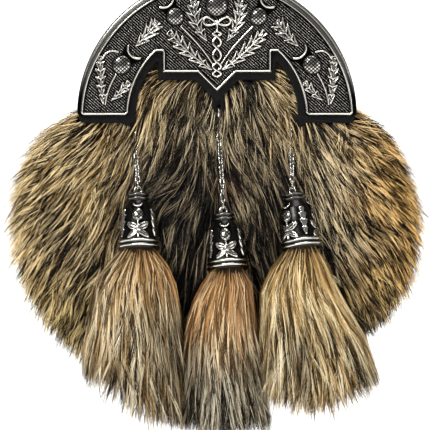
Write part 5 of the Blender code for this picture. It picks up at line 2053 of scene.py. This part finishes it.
            knots.append(at_depth(flat, np.minimum(depth + t * (swing - 1.0 + 3.0 * rearward), -4.5)))
        widths = tapered(self.thickness, count, draw)
        tone = self.spread_tone(shared.tone[strand]) + draw.uniform(-0.14, 0.14, count)
        dark_tips = np.where(loner, 1.0, 0.5)
        colours = self.coloured(root, tone, shared.sway[strand], dark_tips, draw)
        facing = at_depth(0.35 * normal, np.where(rearward > 0.8, 0.6, -0.9))
        return Hairs(np.stack(knots, 1), widths, colours, facing, self.seed + 2)

    def skin(self) -> None:
        """Builds the skin with its underfur, wrapped round the pouch's edge, as a closed shell; its near-black
        ground is partly painted shade under the coat.
        """
        around = 120
        rim = rim_points(np.radians(np.linspace(RIM_TURN_START, RIM_TURN_START + RIM_TURN_SWEEP, around)))
        normal = rim_lie(rim)[0]
        span = np.radians(np.linspace(158.0, 22.0, around))
        top = np.column_stack([70.0 * np.cos(span), CENTRE_Z + 70.0 * np.sin(span)])
        outer, inner = [], []
        for along in np.linspace(0.0, 1.0, 26):
            flat = top + (rim - top) * along
            lift = belly(flat)
            outer.append(at_depth(flat, SKIN_Y - lift))
            inner.append(at_depth(flat, SKIN_REAR_Y - lift))
        for out, y, back_out, back_y in (
            (1.2, -31.0, 0.4, -30.2),
            (1.8, -30.0, 0.7, -29.4),
            (1.9, -24.0, 0.7, -24.0),
            (1.9, -16.0, 0.7, -16.0),
            (1.9, -8.4, 0.7, -8.0),
            (1.4, -7.7, 1.0, -7.6),
        ):
            outer.append(at_depth(rim + normal * out, y))
            inner.append(at_depth(rim + normal * back_out, back_y))
        stacked = np.stack(outer + inner[::-1])
        step = np.arange(len(outer) - 1)
        far = len(stacked) - 1 - step
        caps = np.stack([step, step + 1, far - 1, far], -1) * around
        faces = np.vstack([grid_faces(len(stacked), around, loop=True), caps, caps + around - 1])
        piece = make_piece("pelt_skin", stacked.reshape(-1, 3), faces, self.under, "pelt")
        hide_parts("fur_body")


def nearest(points: Array, centres: Array) -> Array:
    """The nearest centre to each point.

    Args:
        points: The points.
        centres: The centres.

    Returns:
        Each point's centre.
    """
    found = np.zeros(len(points), int)
    for start in range(0, len(points), 4000):
        part = points[start : start + 4000]
        apart = ((part[:, None, :] - centres[None]) ** 2).sum(2)
        found[start : start + 4000] = apart.argmin(1)
    return found


@dataclass
class TasselFur:
    """The hanging fur of one tassel."""

    tassel: Tassel
    hair: Material
    under: Material
    count: int = 17500
    strand_length: float = 40.0
    thickness: float = 0.28
    strand_width: float = 0.4
    loner_share: float = 0.2
    loner_reach: float = 12.0
    core_share: float = 0.74
    smooth_tone: float = 0.62
    seed: int = 40

    def form(self, below: Array) -> tuple[Array, Array, Array, Array]:
        """The tassel's form at distances below the bell's mouth.

        Args:
            below: The distances.

        Returns:
            The middle across, the middle's depth, the half width and the half depth.
        """
        mouth = cap_matrix(self.tassel) @ Vector((0.0, 0.0, -CAP_HEIGHT))
        at, centres, widths = zip(*self.tassel.sections)
        centre, width = np.interp(below, at, centres), np.interp(below, at, widths)
        forward = np.clip(below / 20, 0, 1)
        y = mouth.y + (TASSEL_Y - mouth.y) * forward
        flat = np.maximum(width * TASSEL_FLATNESS, TASSEL_LEAST_DEPTH)
        depth = np.minimum(flat, width * (1 - 0.4 * smoothstep(0, 14, below)))
        return centre, y, width, depth

    def fall(self, angle: Array, mouth_z: float) -> Array:
        """How far below the mouth the hair ends, for directions round the tassel.

        Args:
            angle: The directions.
            mouth_z: The mouth's height.

        Returns:
            The distances.
        """
        low = self.tassel.sections[-2]
        x = low.centre_x + low.half_width * np.cos(angle)
        return mouth_z - np.interp(x, *zip(*self.tassel.hem))

    def build(self) -> None:
        """Grows the tassel's hair over a solid core."""
        tassel = self.tassel
        draw = np.random.default_rng(self.seed)
        mouth_z = (cap_matrix(tassel) @ Vector((0.0, 0.0, -CAP_HEIGHT))).z
        self.core(mouth_z)
        count = self.count
        angle = draw.uniform(0, 2 * math.pi, count)
        fall = self.fall(angle, mouth_z)
        start = fall * draw.random(count) ** 1.1 * 0.8 - 3.0
        strand, off = strand_cells(angle * 18.0, start, self.strand_width, 7.0)
        shared = Strands(draw)
        ragged = np.abs(shared.turn[(strand * 31) % STRAND_KINDS])
        end = fall + 3.0 - 3.5 * ragged
        loner = shared.rise[(strand * 17) % STRAND_KINDS] > 1.15 - 0.8 * self.loner_share
        end += np.where(loner, self.loner_reach * draw.random(count), 0.0)
        length = self.strand_length * shared.length[strand] * draw.uniform(0.8, 1.1, count)
        length = np.clip(np.minimum(length, end - start), 6.0, None)
        share = np.array([HAIR_SHARES])
        below = start[:, None] + share * length[:, None]
        layer = 0.78 + 0.2 * (shared.rise[strand] - 0.35) / 0.8 + draw.uniform(-0.03, 0.03, count)
        at_tip = np.array([[0.0, 0.0, 0.4, 1.0]])
        splay = 0.05 * ragged[:, None] * at_tip * smoothstep(8.0, 30.0, start)[:, None]
        out = layer[:, None] * (np.array([[0.82, 0.95, 1.0, 1.02]]) + splay)
        own_turn = 0.12 * shared.turn[strand] + draw.normal(0, 0.006, count)
        turn = angle[:, None] + own_turn[:, None] * share * 2 - (off / 18.0)[:, None] * 0.7 * share
        centre, y, width, depth = self.form(below)
        x = centre + width * out * np.cos(turn)
        deep = y + depth * out * np.sin(turn)
        paths = np.stack([x, deep, mouth_z - below], -1)
        widths = tapered(self.thickness, count, draw)
        # Tones driven apart as on the pelt: the near-black strands are partly dark hair and partly painted
        # shade between strands.
        tone = 0.52 + 1.7 * (shared.tone[strand] - 0.5) + draw.uniform(-0.1, 0.1, count)
        loose = smoothstep(4.0, 26.0, start)
        tone = (self.smooth_tone - tone) * 0.5 * (1 - loose) + tone
        at_hem = 0.75 * smoothstep(-10.0, -2.0, start + length - fall)
        dark_tips = np.maximum.reduce([0.35 * smoothstep(20.0, 50.0, start), 0.9 * loner, at_hem])
        tip = np.where(draw.random(count) < dark_tips, tone - 0.5, tone + 0.08)
        # Painted shade, with the hair's own banding: the root is darkened to about three quarters of the hair's
        # tone.
        tones = np.stack([tone * 0.72, tone * 0.96, tone, tip], 1)
        mixes = charted(tassel.patches, paths[:, 1, ::2], shared.sway[strand])
        facing = np.column_stack([np.cos(angle), np.sin(angle), np.zeros(count)])
        hairs = Hairs(paths, widths, toned(mixes, tones), facing, self.seed + 1)
        piece = hairs.build(f"tassel_hair_{tassel.name}", np.arange(count), self.hair, "tassel_hair")
        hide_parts(f"tassel_fur_{tassel.name}")

    def core(self, mouth_z: float) -> None:
        """Builds the dense inside of the tassel, from within the bell to above its tips, in the near-black
        underfur finish, which is partly painted shade inside the tassel.

        Args:
            mouth_z: The height of the bell's mouth.
        """
        around = 40
        turn = circle(around)
        rings = []
        for radius, below in ((7.0, 20.5), (8.4, CAP_HEIGHT - 0.5)):
            ring = np.column_stack([radius * np.cos(turn), radius * np.sin(turn), np.full(around, -below)])
            rings.append(moved(ring, cap_matrix(self.tassel)))
        fall = self.fall(turn, mouth_z)
        for share in np.linspace(0.04, 0.8, 14):
            centre, y, width, depth = self.form(share * fall)
            x = centre + self.core_share * width * np.cos(turn)
            deep = y + self.core_share * depth * np.sin(turn)
            rings.append(np.column_stack([x, deep, mouth_z - share * fall]))
        points, faces = np.vstack(rings), grid_faces(len(rings), around, wrap=True)
        ends = end_faces(len(points), around)
        name = f"tassel_core_{self.tassel.name}"
        piece = make_piece(name, points, faces, self.under, "tassel_hair", ends=ends)
        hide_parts(f"tassel_fur_{self.tassel.name}")


@dataclass
class Studio:
    """The pale floor, the soft lights and the camera at the photograph's angle."""

    distance: float = 1.36
    frame_width: float = 0.2451
    aim: Spot = (-0.0011, -0.0884)
    picture_plane: float = -0.040
    floor_z: float = -0.30
    floor_reach: float = 3.0
    wall_y: float = 2.4
    bend: float = 0.5
    paper: str = "#F7F7F6"
    paper_glow: float = 0.8
    air: float = 0.22

    def build(self) -> None:
        """Builds the floor, the lights and the camera."""
        self.floor()
        self.lights()
        self.camera()

    def floor(self) -> None:
        """A seamless pale sheet that runs back and curves up behind the object."""
        paper = linear(self.paper)
        values = {"Base Color": paper, "Roughness": 0.9, "Specular IOR Level": 0.1, "Emission Color": paper}
        made = new_material("studio_paper", values | {"Emission Strength": self.paper_glow})[0]
        middle_y, middle_z, bend = self.wall_y - self.bend, self.floor_z + self.bend, self.bend
        turn = np.linspace(-math.pi / 2, 0, 24)
        profile = [(-self.floor_reach, self.floor_z)]
        profile += [(middle_y + bend * math.cos(t), middle_z + bend * math.sin(t)) for t in turn]
        profile += [(self.wall_y, self.floor_reach)]
        points = [(x, y, z) for y, z in profile for x in (-self.floor_reach, self.floor_reach)]
        faces = [(2 * k, 2 * k + 1, 2 * k + 3, 2 * k + 2) for k in range(len(profile) - 1)]
        mesh = bpy.data.meshes.new("studio_paper")
        mesh.from_pydata(points, [], faces)
        mesh.shade_smooth()
        mesh.materials.append(made)
        sheet = stand("studio_paper", mesh)

    def lights(self) -> None:
        """A big soft key from the upper left, a fill from the right, one from above and a bright surround."""
        world = bpy.data.worlds.new("studio_air")
        world.use_nodes = True
        background = world.node_tree.nodes["Background"].inputs
        background["Color"].default_value = (1.0, 1.0, 1.0, 1.0)
        background["Strength"].default_value = self.air
        bpy.context.scene.world = world
        for name, place, size, power in (
            ("key", (-0.7, -1.3, 0.95), 0.5, 22.0),
            ("fill", (1.1, -1.2, 0.1), 0.7, 5.0),
            ("top", (0.1, -0.3, 1.2), 0.7, 9.0),
        ):
            lamp = bpy.data.lights.new(name, "AREA")
            lamp.size = size
            lamp.energy = power
            holder = stand(name, lamp)
            target = Vector((0.0, -0.04, -0.09))
            holder.location = place
            holder.rotation_euler = (target - Vector(place)).to_track_quat("-Z", "Y").to_euler()

    def camera(self) -> None:
        """A level camera straight in front, framed as the photograph is."""
        lens = bpy.data.cameras.new("camera")
        lens.sensor_width = 36.0
        lens.lens = lens.sensor_width * self.distance / self.frame_width
        holder = stand("camera", lens)
        holder.location = (self.aim[0], self.picture_plane - self.distance, self.aim[1])
        holder.rotation_euler = (math.radians(90.0), 0.0, 0.0)
        bpy.context.scene.camera = holder
        bpy.context.scene.view_settings.view_transform = "Standard"


def main() -> None:
    """Builds and dresses every part of the sporran in order."""
    logging.basicConfig(level=logging.INFO, format="%(name)s: %(message)s")
    leather = BlackLeather().material()
    hair = GuardHair("coyote_guard_hair").material()
    under = UnderfurAndShade("coyote_underfur_and_shade").material()
    chain_wire = PlatedWire().material()
    bell = AntiqueSilver("antique_silver_bell", polished_roughness=0.15, black_roughness=0.3, grain=0.5)
    parts: list[tuple[str, object]] = [
        ("studio", Studio()),
        ("cantle", Cantle(AntiqueSilver("antique_silver_cantle"))),
        ("leather", Leatherwork(leather, WaxedThread().material())),
        ("bells", Bell(bell)),
    ]
    parts += [(f"chain {tassel.name}", Chain(tassel, chain_wire)) for tassel in TASSELS]
    parts.append(("pelt", Pelt(hair, under)))
    for number, tassel in enumerate(TASSELS):
        parts.append((f"tassel {tassel.name}", TasselFur(tassel, hair, under, seed=40 + 10 * number)))
    for name, part in parts:
        part.build()
        LOG.info("built %s", name)


if __name__ == "__main__":
    main()
